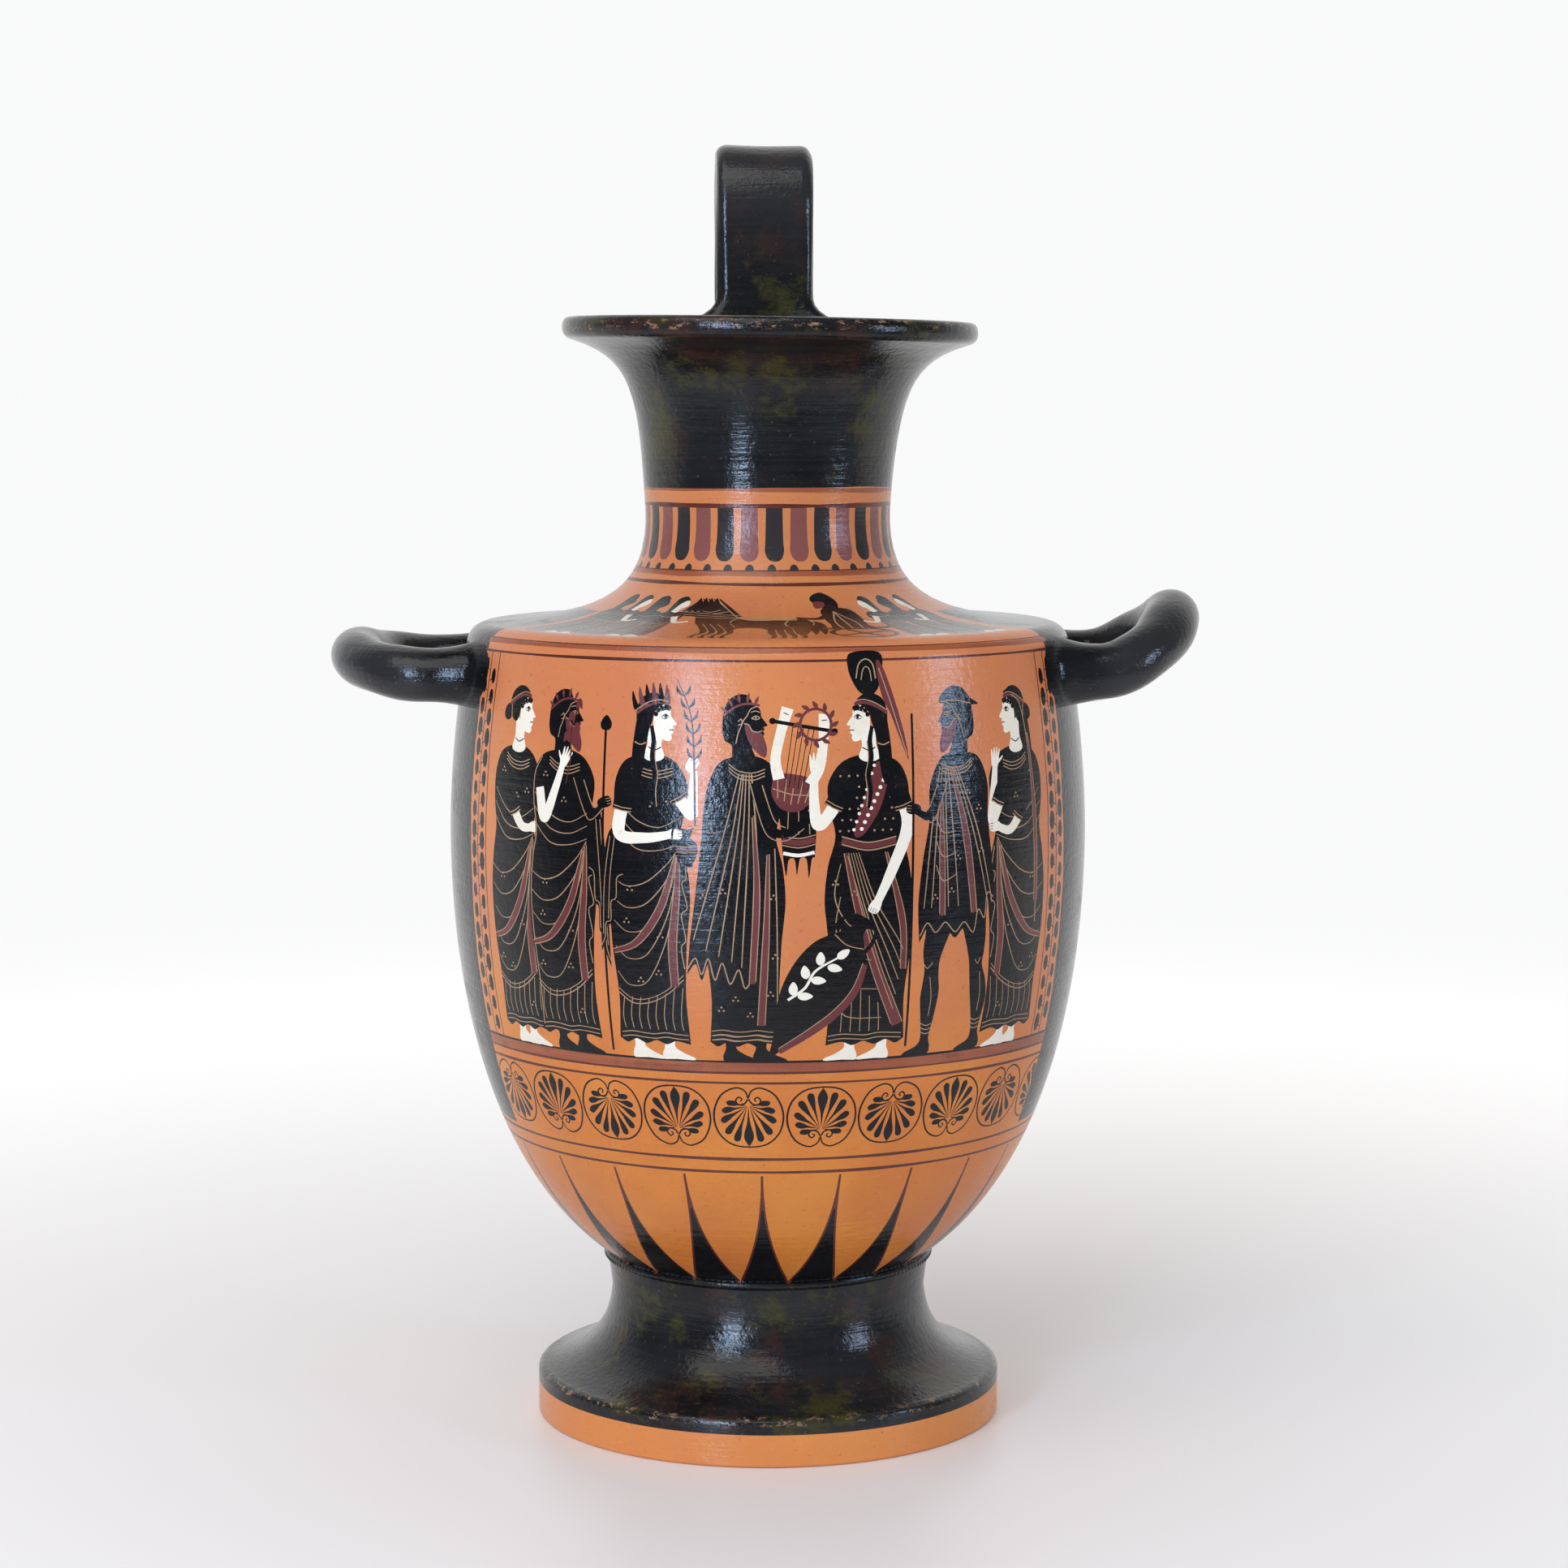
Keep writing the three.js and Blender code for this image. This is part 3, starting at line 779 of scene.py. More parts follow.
def jug_woman(at):
    """She has long locks and a band of leaves, a branch in one hand and a jug in the other."""
    her = figure(at)
    foot(her, "white", -6.0)
    foot(her, "white", 5.4)
    robe(her, 1.2)
    mantle_folds(her, 1.2, skip=3)
    tail(her, -10.6, 84, 44, -9)
    neckline(her, 1.1)
    brow = head(at + 1.0)
    woman_head(brow)
    for k in range(6):
        x = 3.4 - 2.0 * k
        y = 16.9 - 0.22 * (k - 1.5) ** 2
        fill(brow, "black" if k % 2 else "purple", [
            (x - 0.9, y), (x - 0.9 - 0.2 * k, y + 3.2), (x - 0.5 - 0.25 * k, y + 5.6),
            (x + 0.5 - 0.2 * k, y + 3.0), (x + 0.9, y)])
    line(brow, "cream", [(4.0, 16.7), (0.6, 17.3), (-3.2, 16.4), (-6.9, 14.0)], 0.35)
    arm(her, "white", [(7.4, 102), (14, 92.0), (14.6, 96), (15.0, 108)], (4.6, 4.2, 3.4, 2.4))
    fist(her, "white", 13.4, 108.6, 60)
    sleeve(her, (5.4, 105.0), (10.6, 97.2), 7.0)
    line(her, "brown", [(15.6, 88), (15.0, 110), (13.4, 128), (8.0, 141)], 0.7, 0.7, 0.4)
    for k in range(6):
        x, y = 15.0 - 0.18 * k * k, 112 + 4.6 * k
        for side in (-1, 1):
            line(her, "black", [(x, y), (x + side * 1.9, y + 1.8), (x + side * 2.5, y + 4.2)], 0.3, 1.2, 0.2)
    arm(her, "white", [(-9.6, 99), (-11.6, 84.5), (-2.0, 83.0), (7.4, 84.6)], (5.0, 4.8, 4.0, 2.8))
    fist(her, "white", 7.0, 84.6, 6)
    sleeve(her, (-8.8, 103.5), (-10.8, 92.5), 7.6)
    jug = spot(at + 12.6, run_at(picture_floor) + 73.5)
    fill(jug, "black", [
        (-1.7, 8.4), (-1.4, 5.8), (-3.6, 3.2), (-3.8, 0), (-2.3, -3.4), (-1.9, -4.6), (1.9, -4.6),
        (2.3, -3.4), (3.8, 0), (3.6, 3.2), (1.4, 5.8), (2.7, 8.9), (0.6, 8.2)])
    line(jug, "black", [(-1.5, 8.2), (-4.4, 8.6), (-4.9, 4.6), (-3.3, 2.4)], 0.7)
    line(jug, "purple", [(-3.7, 1.4), (3.7, 1.4)], 0.8)
    line(jug, "cream", [(-3.5, 2.3), (3.5, 2.3)], 0.3)
    line(jug, "cream", [(-3.6, 0.5), (3.6, 0.5)], 0.3)


sprig_woman(-98.0)
staff_man(-74.6, -98.0)
jug_woman(-39.6)

# The middle of the picture. A musician in a broad cloak plays a lyre with white arms and a red sound box.
# Its strings are thin black lines on the bare clay, and its cloth hangs under it.
def musician(at):
    """He wears a broad cloak with a jagged edge and plays a lyre, with its cloth hanging under it."""
    him = figure(at)
    foot(him, "black", -5.4)
    foot(him, "black", 5.2)
    robe(him, 1.12)
    fill(him, "black", [
        (-3, 111.5), (-9.4, 110), (-13.6, 101), (-15.6, 80), (-17.4, 62), (-19.4, 46), (-20.6, 33),
        (-20.6, 33), (-17.6, 37), (-15.6, 31), (-13.2, 37), (-11.0, 29), (-8.4, 35.4), (-5.8, 27.6),
        (-2.8, 33), (-0.6, 26), (2.8, 32), (3.6, 60), (3.4, 90), (1.4, 107)], step=0.8)
    line(him, "cream", [
        (-20.4, 35.2), (-17.6, 39.2), (-15.6, 33.2), (-13.2, 39.2), (-11.0, 31.2), (-8.4, 37.6), (-5.8, 29.8),
        (-2.8, 35.2), (-0.6, 28.2), (2.7, 34)], 0.45)
    for x0, x1, x2, y2 in ((-2.6, -8.4, -18.2, 46), (-1.6, -5.4, -14.0, 42), (-1.0, -3.4, -9.6, 40),
                           (-0.2, -1.4, -5.2, 38), (0.8, 0.6, -1.8, 36)):
        line(him, "cream", [(x0, 107), (x1, 82), (x2, y2)], 0.35, 0.5, 0.35)
    line(him, "cream", [(1.6, 107), (3.4, 80), (3.0, 34)], 0.45)
    stripe(him, [(2.2, 92), (3.4, 64), (1.8, 30)], 0.8, 2.2, 2.2)
    stripe(him, [(7.2, 78), (6.6, 50), (4.8, 14)], 0.8, 2.2, 2.6)
    line(him, "cream", [(9.4, 80), (10.2, 50), (10.4, 16)], 0.4)
    hem(him, -13.0, 12.0, 8.6)
    for x, y in ((-9, 20), (-4, 24), (1, 18), (9.6, 40), (9, 62), (-14.8, 62), (-11.8, 86), (8, 26),
                 (-8, 64)):
        rosette(him, x, y)
    neckline(him, 0.9)
    man_head(head(at - 0.4))
    cloth = spot(at + 17.4, run_at(picture_floor) + 90.0)
    fill(cloth, "black", [
        (-5.6, 0), (-5.9, -9), (-5.2, -18), (-5.2, -18), (-4.2, -24), (-3.4, -18.4), (-1.4, -18.2),
        (-0.6, -23.4), (0.4, -18), (2.6, -18.2), (3.4, -24.6), (4.4, -18), (5.4, -17.6), (5.4, -17.6),
        (5.9, -8), (5.2, 0)])
    line(cloth, "white", [(-5.2, -16.0), (0, -16.8), (5.3, -15.8)], 1.2)
    line(cloth, "purple", [(-5.6, -11.6), (0, -12.6), (5.6, -11.4)], 2.0)
    line(cloth, "cream", [(-5.7, -13.2), (0, -14.2), (5.6, -13.0)], 0.35)
    line(cloth, "cream", [(-5.8, -10.0), (0, -11.0), (5.7, -9.8)], 0.35)
    for x in (-3.4, 0, 3.4):
        line(cloth, "cream", [(x, -1), (x * 1.1, -9.6)], 0.3)
    lyre = spot(at + 16.0, run_at(picture_floor) + 98.0, 1.16, 1.16, -10)
    fill(lyre, "purple", [
        (-5.4, 1.6), (-6.2, -3.4), (-3.6, -7.4), (0, -8.6), (3.6, -7.4), (6.2, -3.4), (5.4, 1.6), (0, 2.6)])
    for k in range(5):
        line(lyre, "cream", [(-5.0 + 2.5 * k, 0.8), (-4.0 + 2.0 * k, -6.4 + 0.6 * abs(k - 2))], 0.3)
    line(lyre, "cream", [(-5.9, -2.6), (0, -3.4), (5.9, -2.6)], 0.3)
    for side in (-1, 1):
        line(lyre, "white", [
            (side * 4.6, 0.4), (side * 6.6, 6), (side * 6.4, 14), (side * 5.6, 21.6)], 3.4, 2.9, 2.9, 3.6)
        line(lyre, "brown", [(side * 5.0, 19.6), (side * 6.6, 20.0)], 0.3)
    line(lyre, "black", [(-9.4, 17.0), (9.4, 17.0)], 1.1)
    for side in (-1, 1):
        dot(lyre, "black", side * 9.4, 17.0, 1.0)
    for k in range(5):
        line(lyre, "black", [(-2.6 + 1.3 * k, -1.5), (-3.2 + 1.6 * k, 17.2)], 0.25)
    arm(him, "black", [(3.0, 104), (7.4, 88), (13.5, 85.5), (19.5, 90)])
    line(him, "cream", [(1.0, 104), (5.2, 88.4), (8.4, 83.6), (13.6, 83.0), (19.2, 87.2)], 0.35)
    line(him, "cream", [(5.2, 103), (9.2, 90.5), (13.0, 87.6)], 0.35)
    open_hand(him, "black", 19.2, 89.6, 38)


musician(-6.6)

# The right of the picture. A woman with a wreath, a veiled woman and a traveller look to the left. A wine
# jar leans between the musician and them, and a sash hangs over it, both black with red and white on them.
def wreath_woman(at):
    """She wears a dotted dress with a sash across, and holds up a wreath."""
    her = figure(at, -1)
    foot(her, "white", -6.4)
    foot(her, "white", 5.6)
    robe(her, 1.3)
    fill(her, "purple", [
        (-7.6, 108.6), (-3.0, 110.2), (1.8, 96), (5.0, 85), (1.8, 84.4), (-3.4, 92), (-6.4, 100)])
    for k in range(9):
        dot(her, "white", -6.9 + 1.15 * k, 106.6 - 2.5 * k, 0.72)
        dot(her, "white", -2.6 + 0.95 * k, 109.6 - 2.9 * k, 0.62)
    for x in range(-9, 10, 3):
        for y in range(86, 110, 4):
            if abs(x) < 9.6 and not (-7.4 < x + 0.42 * (y - 97) < 0.8):
                dot(her, "cream", x + 0.4 * (y % 3), y, 0.45, sides=6)
    line(her, "cream", [(-10.0, 83.4), (0, 81.6), (9.2, 84)], 0.5)
    line(her, "purple", [(-10.0, 82.0), (0, 80.2), (9.2, 82.6)], 1.8)
    line(her, "cream", [(-10.1, 80.6), (0, 78.8), (9.3, 81.2)], 0.5)
    stripe(her, [(8.0, 78), (3.4, 58), (-3.8, 34), (-12.4, 13)], 1.0, 3.0, 3.6, 4.2)
    stripe(her, [(-6.4, 78), (-12.6, 52), (-13.4, 34)], 0.8, 2.4, 2.0)
    for k in range(5):
        line(her, "cream", [
            (7.0 - 0.9 * k, 78), (2.6 - 1.3 * k, 58 + 0.6 * k), (-3.4 - 1.9 * k, 37 + 2.2 * k),
            (-10.4 - 0.7 * k, 19 + 5.6 * k)], 0.25, 0.42, 0.3)
    for k in range(4):
        line(her, "cream", [
            (9.6, 74 - 12 * k), (11.6 - 0.5 * k, 62 - 12 * k), (7.0, 52 - 11.6 * k),
            (0.4 - 2.2 * k, 49 - 11 * k)], 0.25, 0.42, 0.25)
    for k in range(5):
        line(her, "cream", [(-4.6 + 3.2 * k, 22 + 2.4 * k), (-5.2 + 3.4 * k, 16), (-5.4 + 3.5 * k, 11)], 0.3)
    for x, y in ((9.6, 32), (5.6, 43), (11.0, 20), (4.8, 63), (11.4, 67), (3.0, 30)):
        rosette(her, x, y)
    woman_head(head(at + 0.6, -1))
    arm(her, "white", [
        (7.6, 102), (13.6, 92), (17.4, 88.5), (18.6, 98), (18.2, 108)], (4.8, 4.4, 4.0, 3.2, 2.4))
    open_hand(her, "white", 18.2, 108, 92)
    sleeve(her, (6.4, 104.5), (12.2, 94.5), 7.0)
    middle = at - 17.6, run_at(picture_floor) + 118.0
    around = [(5.4 * math.cos(a), 5.4 * math.sin(a)) for a in np.linspace(0, 2 * math.pi, 19)]
    lay(spot(*middle), "purple", ribbon(around, [1.0]))
    for a in np.arange(12) * math.pi / 6:
        leaf = spot(middle[0] + 6.6 * math.cos(a), middle[1] + 6.6 * math.sin(a), turn=math.degrees(a) + 35)
        fill(leaf, "purple", [(-1.3, 0), (0, 0.8), (1.8, 0), (0, -0.8)])
    arm(her, "white", [(-10.4, 101), (-14.4, 88), (-8.4, 71), (-2.6, 58)], (4.8, 4.6, 4.0, 2.8))
    fist(her, "white", -3.4, 59.6, -64)
    sleeve(her, (-9.6, 104.5), (-13.2, 93.5), 7.2)


def hung_sash(at):
    """A bag and a long sash hang from the border."""
    sash = spot(at, run_at(picture_floor) + 140.0)
    fill(sash, "black", [
        (-6.4, 2.4), (-7.4, -3.2), (-4.8, -9.6), (-1.6, -12.2), (2.2, -11.4), (4.8, -6.0), (4.6, 2.4)])
    line(sash, "cream", [(-4.6, -6.4), (-3.4, -1.4), (-0.6, 0.2), (1.8, -1.8), (2.6, -6.6)], 0.45)
    line(sash, "cream", [(-2.8, -7.0), (-2.0, -3.4), (-0.6, -2.4), (0.6, -3.8), (1.0, -7.4)], 0.35)
    fill(sash, "purple", [
        (3.0, -1), (5.2, -2), (8.8, -12), (12.4, -26), (13.6, -35), (11.2, -29), (7.6, -19), (4.4, -12)])
    line(sash, "cream", [(4.0, -3), (7.2, -13), (11.0, -26), (13.2, -33.6)], 0.35)


def leaning_jar(at):
    """A black wine jar leans on its point, with a white ivy spray."""
    jar = spot(at, run_at(picture_floor) + 26.6, 1.08, 0.98, -31)
    fill(jar, "black", [
        (-2.2, 27.5), (-2.6, 23.5), (-5.4, 20), (-9.6, 14), (-11.2, 5), (-10.2, -5), (-6.8, -15), (-2.8, -23),
        (-1.2, -27.6), (0, -29.0), (1.2, -27.6), (2.8, -23), (6.8, -15), (10.2, -5), (11.2, 5), (9.6, 14),
        (5.4, 20), (2.6, 23.5), (2.2, 27.5)], step=0.9)
    line(jar, "purple", [(9.0, 14.6), (11.4, 5), (10.2, -5), (6.6, -15.4), (1.6, -26.4)], 1.6, 2.4, 2.6, 1.8)
    line(jar, "cream", [(8.0, 14.8), (10.0, 5), (8.8, -4.6), (5.2, -15), (0.8, -25.4)], 0.35)
    for side in (-1, 1):
        line(jar, "black", [
            (side * 2.2, 26.4), (side * 5.4, 26.8), (side * 6.8, 22.6), (side * 6.4, 18.4)], 1.2, 1.2, 1.5)
    line(jar, "black", [(-3.6, 28.2), (3.6, 28.2)], 1.8)
    line(jar, "cream", [(-5.6, 19.2), (0, 17.8), (5.6, 19.2)], 0.35)
    line(jar, "white", [(-6.0, -8.5), (-3.6, -2), (-3.9, 5), (-0.2, 12.5)], 0.9, 0.9, 0.6)
    for x, y, lean in ((-6.6, -4.2, 120), (-2.0, -4.6, 30), (-6.4, 2.8, 130), (-1.4, 2.4, 25),
                       (-4.8, 9.4, 120), (0.8, 8.8, 15), (0.6, 14.4, 70)):
        fill(upon(jar, x, y, lean), "white", [
            (-2.3, 0), (-1.2, 1.3), (0.8, 1.3), (2.6, 0), (0.8, -1.3), (-1.2, -1.3)])


def veiled_woman(at):
    """She has a veil down her back, and a hand at her chin."""
    her = figure(at, -1)
    foot(her, "white", -3.6)
    foot(her, "white", 3.4)
    robe(her, 1.3)
    fill(her, "black", [
        (3.4, 133.0), (-1.0, 134.4), (-6.4, 131), (-9.6, 122), (-10.8, 108), (-12.4, 84), (-12.8, 60),
        (-13.0, 42), (-13.0, 42), (-10.8, 45), (-9.4, 38.6), (-9.4, 38.6), (-6.4, 44), (-5.6, 90),
        (-4.4, 112), (-2.2, 122)])
    mantle_folds(her, 1.28, skip=5)
    neckline(her, 0.94)
    woman_head(head(at + 0.8, -1), bun=True)
    line(her, "cream", [(-1.0, 132.6), (-5.6, 128.4), (-8.2, 112), (-9.8, 84), (-11.4, 46)], 0.45)
    stripe(her, [(-8.2, 118), (-10.0, 90), (-11.0, 54)], 0.8, 2.0, 1.8)
    arm(her, "white", [
        (6.4, 100), (11.4, 89.0), (13.2, 87.2), (12.0, 97), (10.6, 107)], (4.6, 4.4, 4.0, 3.2, 2.4))
    open_hand(her, "white", 10.7, 106.8, 96)
    sleeve(her, (5.4, 102.5), (10.4, 92.5), 6.6)
    arm(her, "white", [(-3, 90), (4, 82.6), (10.8, 84.4)], (4.2, 3.6, 2.8))
    fist(her, "white", 10.0, 84.2, 4)
    sleeve(her, (-4.4, 93.5), (0.4, 86.6), 6.2)


def traveller(at):
    """He wears a hat and a short cloak over bare legs, and carries a long stick."""
    him = figure(at, -1)
    fill(him, "black", [
        (-10.6, 56), (-12.4, 46), (-12.2, 38), (-11.6, 33), (-13.8, 27), (-14.8, 20), (-13.4, 12), (-12.8, 7),
        (-14.0, 3), (-12.8, 0.4), (-7, 0.2), (-2.6, 0.3), (-3.6, 1.7), (-8.0, 3.8), (-9.2, 6.8), (-8.6, 13),
        (-7.0, 22), (-6.0, 30), (-5.2, 36), (-2.4, 46), (1.0, 56)], step=0.8)
    fill(him, "black", [
        (-1.0, 56), (3.6, 46), (7.0, 37), (7.4, 31), (6.8, 24), (8.2, 14), (9.4, 7), (8.6, 3.2), (9.4, 0.4),
        (15, 0.2), (19.6, 0.3), (18.6, 1.7), (14.2, 3.8), (12.8, 7), (13.4, 14), (14.2, 22), (13.6, 28),
        (13.2, 33), (14.0, 40), (13.0, 50), (12.2, 57)], step=0.8)
    for x, lean in ((-10.6, 0.6), (11.0, -0.4)):
        for k in range(3):
            line(him, "cream", [(x - 2.2, 8.8 + 1.6 * k), (x, 8.2 + 1.6 * k), (x + 2.2, 9.2 + 1.6 * k)], 0.35)
        line(him, "cream", [(x - 0.6 + lean, 35.6), (x + 1.0, 33.4), (x + 2.4, 35.0)], 0.3)
        line(him, "cream", [(x - 0.2, 30), (x - 1.2, 22), (x - 0.6, 15)], 0.3)
    fill(him, "black", [
        (-3.0, 113.0), (-9.4, 110.6), (-13.0, 101), (-12.6, 88), (-14.4, 72), (-16.4, 56), (-16.4, 56),
        (-13.0, 57.6), (-12.0, 48), (-12.0, 48), (-8.6, 51.8), (-6.8, 43), (-6.8, 43), (-2.4, 47.6),
        (1.4, 44.2), (5.6, 48.2), (9.4, 44.6), (12.8, 48.4), (15.8, 43.4), (15.8, 43.4), (16.6, 58),
        (15.0, 74), (12.4, 88), (11.8, 101), (7.4, 110.6), (2.8, 113)])
    line(him, "cream", [
        (-15.2, 58), (-12.4, 59.8), (-11.4, 50.6), (-8.4, 54.0), (-6.6, 45.6), (-2.4, 49.8), (1.4, 46.4),
        (5.6, 50.4), (9.4, 46.8), (12.8, 50.6), (15.6, 45.8)], 0.4)
    stripe(him, [(3.0, 108), (-2.4, 84), (-6.6, 53)], 0.9, 2.8, 2.4)
    stripe(him, [(7.2, 96), (7.4, 76), (7.0, 53)], 0.8, 2.2, 2.2)
    for x0, x1, x2 in ((1.6, -5.8, -12.8), (0.6, -7.8, -14.8), (4.2, 2.8, 0.4), (5.2, 5.6, 4.6),
                       (6.4, 9.6, 11.4), (7.4, 11.6, 14.4)):
        line(him, "cream", [(x0, 108), (x1, 84), (x2, 56)], 0.35, 0.5, 0.3)
    for k in range(3):
        line(him, "cream", [(9.8, 90 - 9 * k), (7, 84 - 9 * k), (1.6, 84 - 8 * k)], 0.3, 0.45, 0.3)
    for x, y in ((-9.4, 76), (-8.6, 92), (3.4, 62), (10.0, 60), (-3.8, 98), (0.8, 74)):
        rosette(him, x, y)
    neckline(him, 0.95)
    brow = head(at + 0.2, -1)
    man_head(brow, wreath=False)
    fill(brow, "black", [
        (5.6, 15.6), (4.4, 18.4), (0.6, 20.6), (-3.6, 19.8), (-6.4, 16.8), (-9.6, 14.8), (-6.2, 14.6),
        (0, 15.6)])
    line(brow, "cream", [(5.0, 15.9), (0, 16.2), (-6.6, 15.0)], 0.35)
    line(him, "black", [(18.6, 4), (19.0, 62), (17.6, 128)], 0.9)
    arm(him, "black", [(6.8, 102), (12.4, 90.5), (18.0, 93.0)])
    line(him, "cream", [(4.6, 102.6), (10.0, 89.2), (13.2, 88.2), (17.8, 91.0)], 0.35)
    line(him, "cream", [(8.6, 101.8), (12.8, 92.6), (16.4, 93.2)], 0.35)
    fist(him, "black", 16.6, 92.8, 8)


wreath_woman(34.6)
hung_sash(36.4)
leaning_jar(17.6)
veiled_woman(97.4)
traveller(69.6)

# The shoulder. A small frieze stands on it, over the picture: four horses with a cart and its driver, and
# draped people who walk to them from both sides. They are black slip on the clay like the picture, and
# their size leaves them fewer cut lines.
shoulder_floor, shoulder_high = run_at(shoulder_height) + 2.2, 1.1
front_horse, horse_step, cart_place = -2.0, 4.18, 44.0


def on_shoulder(u, wide=1.0, lift=0.0):
    """A place on the shoulder, where a drawing keeps its width while the wall narrows upwards."""
    drawn = spot(0, 0, wide, shoulder_high)

    def place(points):
        x, y = drawn(points).T
        v = shoulder_floor + shoulder_high * lift + y
        return np.column_stack([u + x * sheet_radius / np.interp(v, outer_run, outer_radius), v])
    return place


def horse(u, mane):
    """One of the team, which trots to the left."""
    beast = on_shoulder(u, -1.12)
    fill(beast, "black", [
        (-15, 20), (-16.4, 25), (-13, 29.4), (-6, 29), (3, 28.4), (8, 31), (11.4, 37), (14.4, 41.6),
        (15.2, 43.6), (16.6, 41.0), (20.6, 35.6), (22.0, 32.4), (20.0, 31.2), (16.8, 33.6), (15.4, 30.6),
        (14.6, 25), (12.6, 18), (11.4, 11), (13.2, 6), (13.4, 0.4), (11.4, 0.4), (11.6, 5.4), (9.2, 11),
        (7.8, 18.6), (-5, 19.4), (-9.2, 17), (-10.2, 11), (-12.2, 5.4), (-12.4, 0.4), (-14.4, 0.4),
        (-14.2, 6), (-13.4, 11), (-15.0, 16)])
    fill(beast, "black", [(-15.6, 27), (-19.4, 24), (-20.8, 15), (-20, 8), (-18.2, 15), (-15.4, 21)])
    line(beast, "cream", [(8.0, 31), (10.4, 26), (8.8, 20.4)], 0.5)
    line(beast, "cream", [(-8, 28.6), (-7.0, 24), (-9.6, 19)], 0.5)
    line(beast, "cream", [(9.8, 36), (13.4, 34.8), (16.2, 33.8)], 0.45)
    line(beast, mane, [(7.4, 31.4), (11.0, 38), (14.4, 43.0)], 1.5, 1.3, 0.6)
    line(beast, "cream", [(14.0, 36.6), (17.0, 35.0), (19.8, 35.6)], 0.4)
    line(beast, "cream", [(14.4, 24), (12.4, 18), (11.2, 11), (13.0, 6), (13.0, 1)], 0.4)
    line(beast, "cream", [(-9.6, 17), (-10.5, 11), (-12.4, 5.4), (-12.7, 1)], 0.4)
    line(beast, "cream", [
        (-15, 20.5), (-16.2, 25), (-13, 29.2), (-6, 28.8), (3, 28.2), (8, 30.8), (11.4, 36.8),
        (14.4, 41.4)], 0.4)


def cart_and_driver(at):
    """The two-wheeled cart, its driver and the reins."""
    cart = on_shoulder(at, 1.35)
    around = [(8.6 * math.cos(a), 9.4 + 8.6 * math.sin(a)) for a in np.linspace(0, 2 * math.pi, 21)]
    lay(cart, "black", ribbon(around, [1.5]))
    for a in (0.4, 1.97, 3.54, 5.11):
        line(cart, "black", [(0, 9.4), (8.2 * math.cos(a), 9.4 + 8.2 * math.sin(a))], 1.9, 1.2)
    dot(cart, "black", 0, 9.4, 2.0)
    fill(cart, "black", [
        (-11, 17.6), (-12.4, 27), (-10.8, 31), (-9.2, 27), (-8.6, 20), (8.6, 19.2), (10.4, 22.4),
        (11.4, 19.4), (9.0, 16.8)])
    line(cart, "black", [(-9.6, 18.6), (-24, 23), (-38, 27)], 1.4, 1.1, 0.9)
    line(cart, "cream", [(-8.6, 18.8), (8.8, 18.0)], 0.5)
    driver = on_shoulder(at - 1.0, -1.3, 16.0)
    fill(driver, "black", [
        (-4.6, 21), (-6.6, 15), (-6.0, 6), (-6.6, 0.8), (4.8, 0.8), (4.6, 8), (4.4, 15), (2.6, 21.4)])
    fill(driver, "black", [
        (-1.8, 21), (-2.6, 26), (0.4, 30.0), (3.4, 29.2), (4.8, 26.6), (3.6, 23.6), (1.8, 21)])
    fill(driver, "purple", [(1.2, 25.2), (4.2, 25.4), (4.4, 21.6), (2.0, 22.4)])
    line(driver, "black", [(0.6, 19), (6.0, 13.6), (12.0, 14.6)], 2.4, 2.0, 1.5)
    for x in (-3.4, -0.4, 2.4):
        line(driver, "cream", [(0, 19.4), (x, 10), (x + 0.4, 1.6)], 0.5)
    for k in range(3):
        line(cart, "cream", [(-12.6, 30.6 - 1.2 * k), (-30, 33 - 1.6 * k), (-48, 36 - 2.2 * k)], 0.4)


def small_figure(u, way, skin, wide):
    """A draped figure with one arm out."""
    them = on_shoulder(u, way * wide * 1.15)
    fill(them, "black", [
        (-3.0, 34), (-4.6, 30), (-4.0, 24), (-5.4, 14), (-6.0, 3), (6.0, 2.4), (5.2, 12), (4.0, 24),
        (4.4, 31), (2.4, 34.4)])
    for x in (-2.6, 2.8):
        fill(them, skin, [(x - 1.4, 0.2), (x - 1.2, 3.4), (x + 0.8, 3.4), (x + 3.4, 0.6), (x + 3.2, 0.1)])
    fill(them, skin, [
        (-1.4, 35), (-1.4, 38), (0.2, 42.2), (1.7, 41.8), (2.6, 39.6), (1.9, 37.6), (1.1, 36.6), (0.9, 34)])
    fill(them, "black", [
        (1.8, 42.2), (0.2, 44.0), (-1.9, 42.8), (-2.6, 39), (-2.4, 33), (-1.2, 35), (-0.6, 39), (0.6, 41.4)])
    line(them, skin, [(2.0, 31), (4.8, 25), (8.4, 26.5)], 2.0, 1.7, 1.2)
    line(them, "cream", [(-4.2, 24), (0, 23), (4.0, 24.4)], 0.5)
    for x in (-3.6, -1.2, 1.4):
        line(them, "cream", [(2.8, 23), (x + 1.0, 14), (x, 4.5)], 0.45)
    line(them, "purple", [(3.2, 23), (3.4, 13), (3.6, 4)], 1.4)
    line(them, "cream", [(-3.6, 31.5), (0, 30), (3.6, 31.5)], 0.45)


for k in (3, 2, 1, 0):
    horse(front_horse - horse_step * k, "purple" if k % 2 else "black")
cart_and_driver(cart_place)
for u, way, skin, wide in ((72.0, -1, "white", 1.1), (90.0, -1, "black", 1.2), (108.0, -1, "white", 1.1),
                           (-61.0, 1, "white", 1.1), (-78.0, 1, "black", 1.2), (-95.0, 1, "white", 1.1),
                           (-112.0, 1, "black", 1.2)):
    small_figure(u, way, skin, wide)

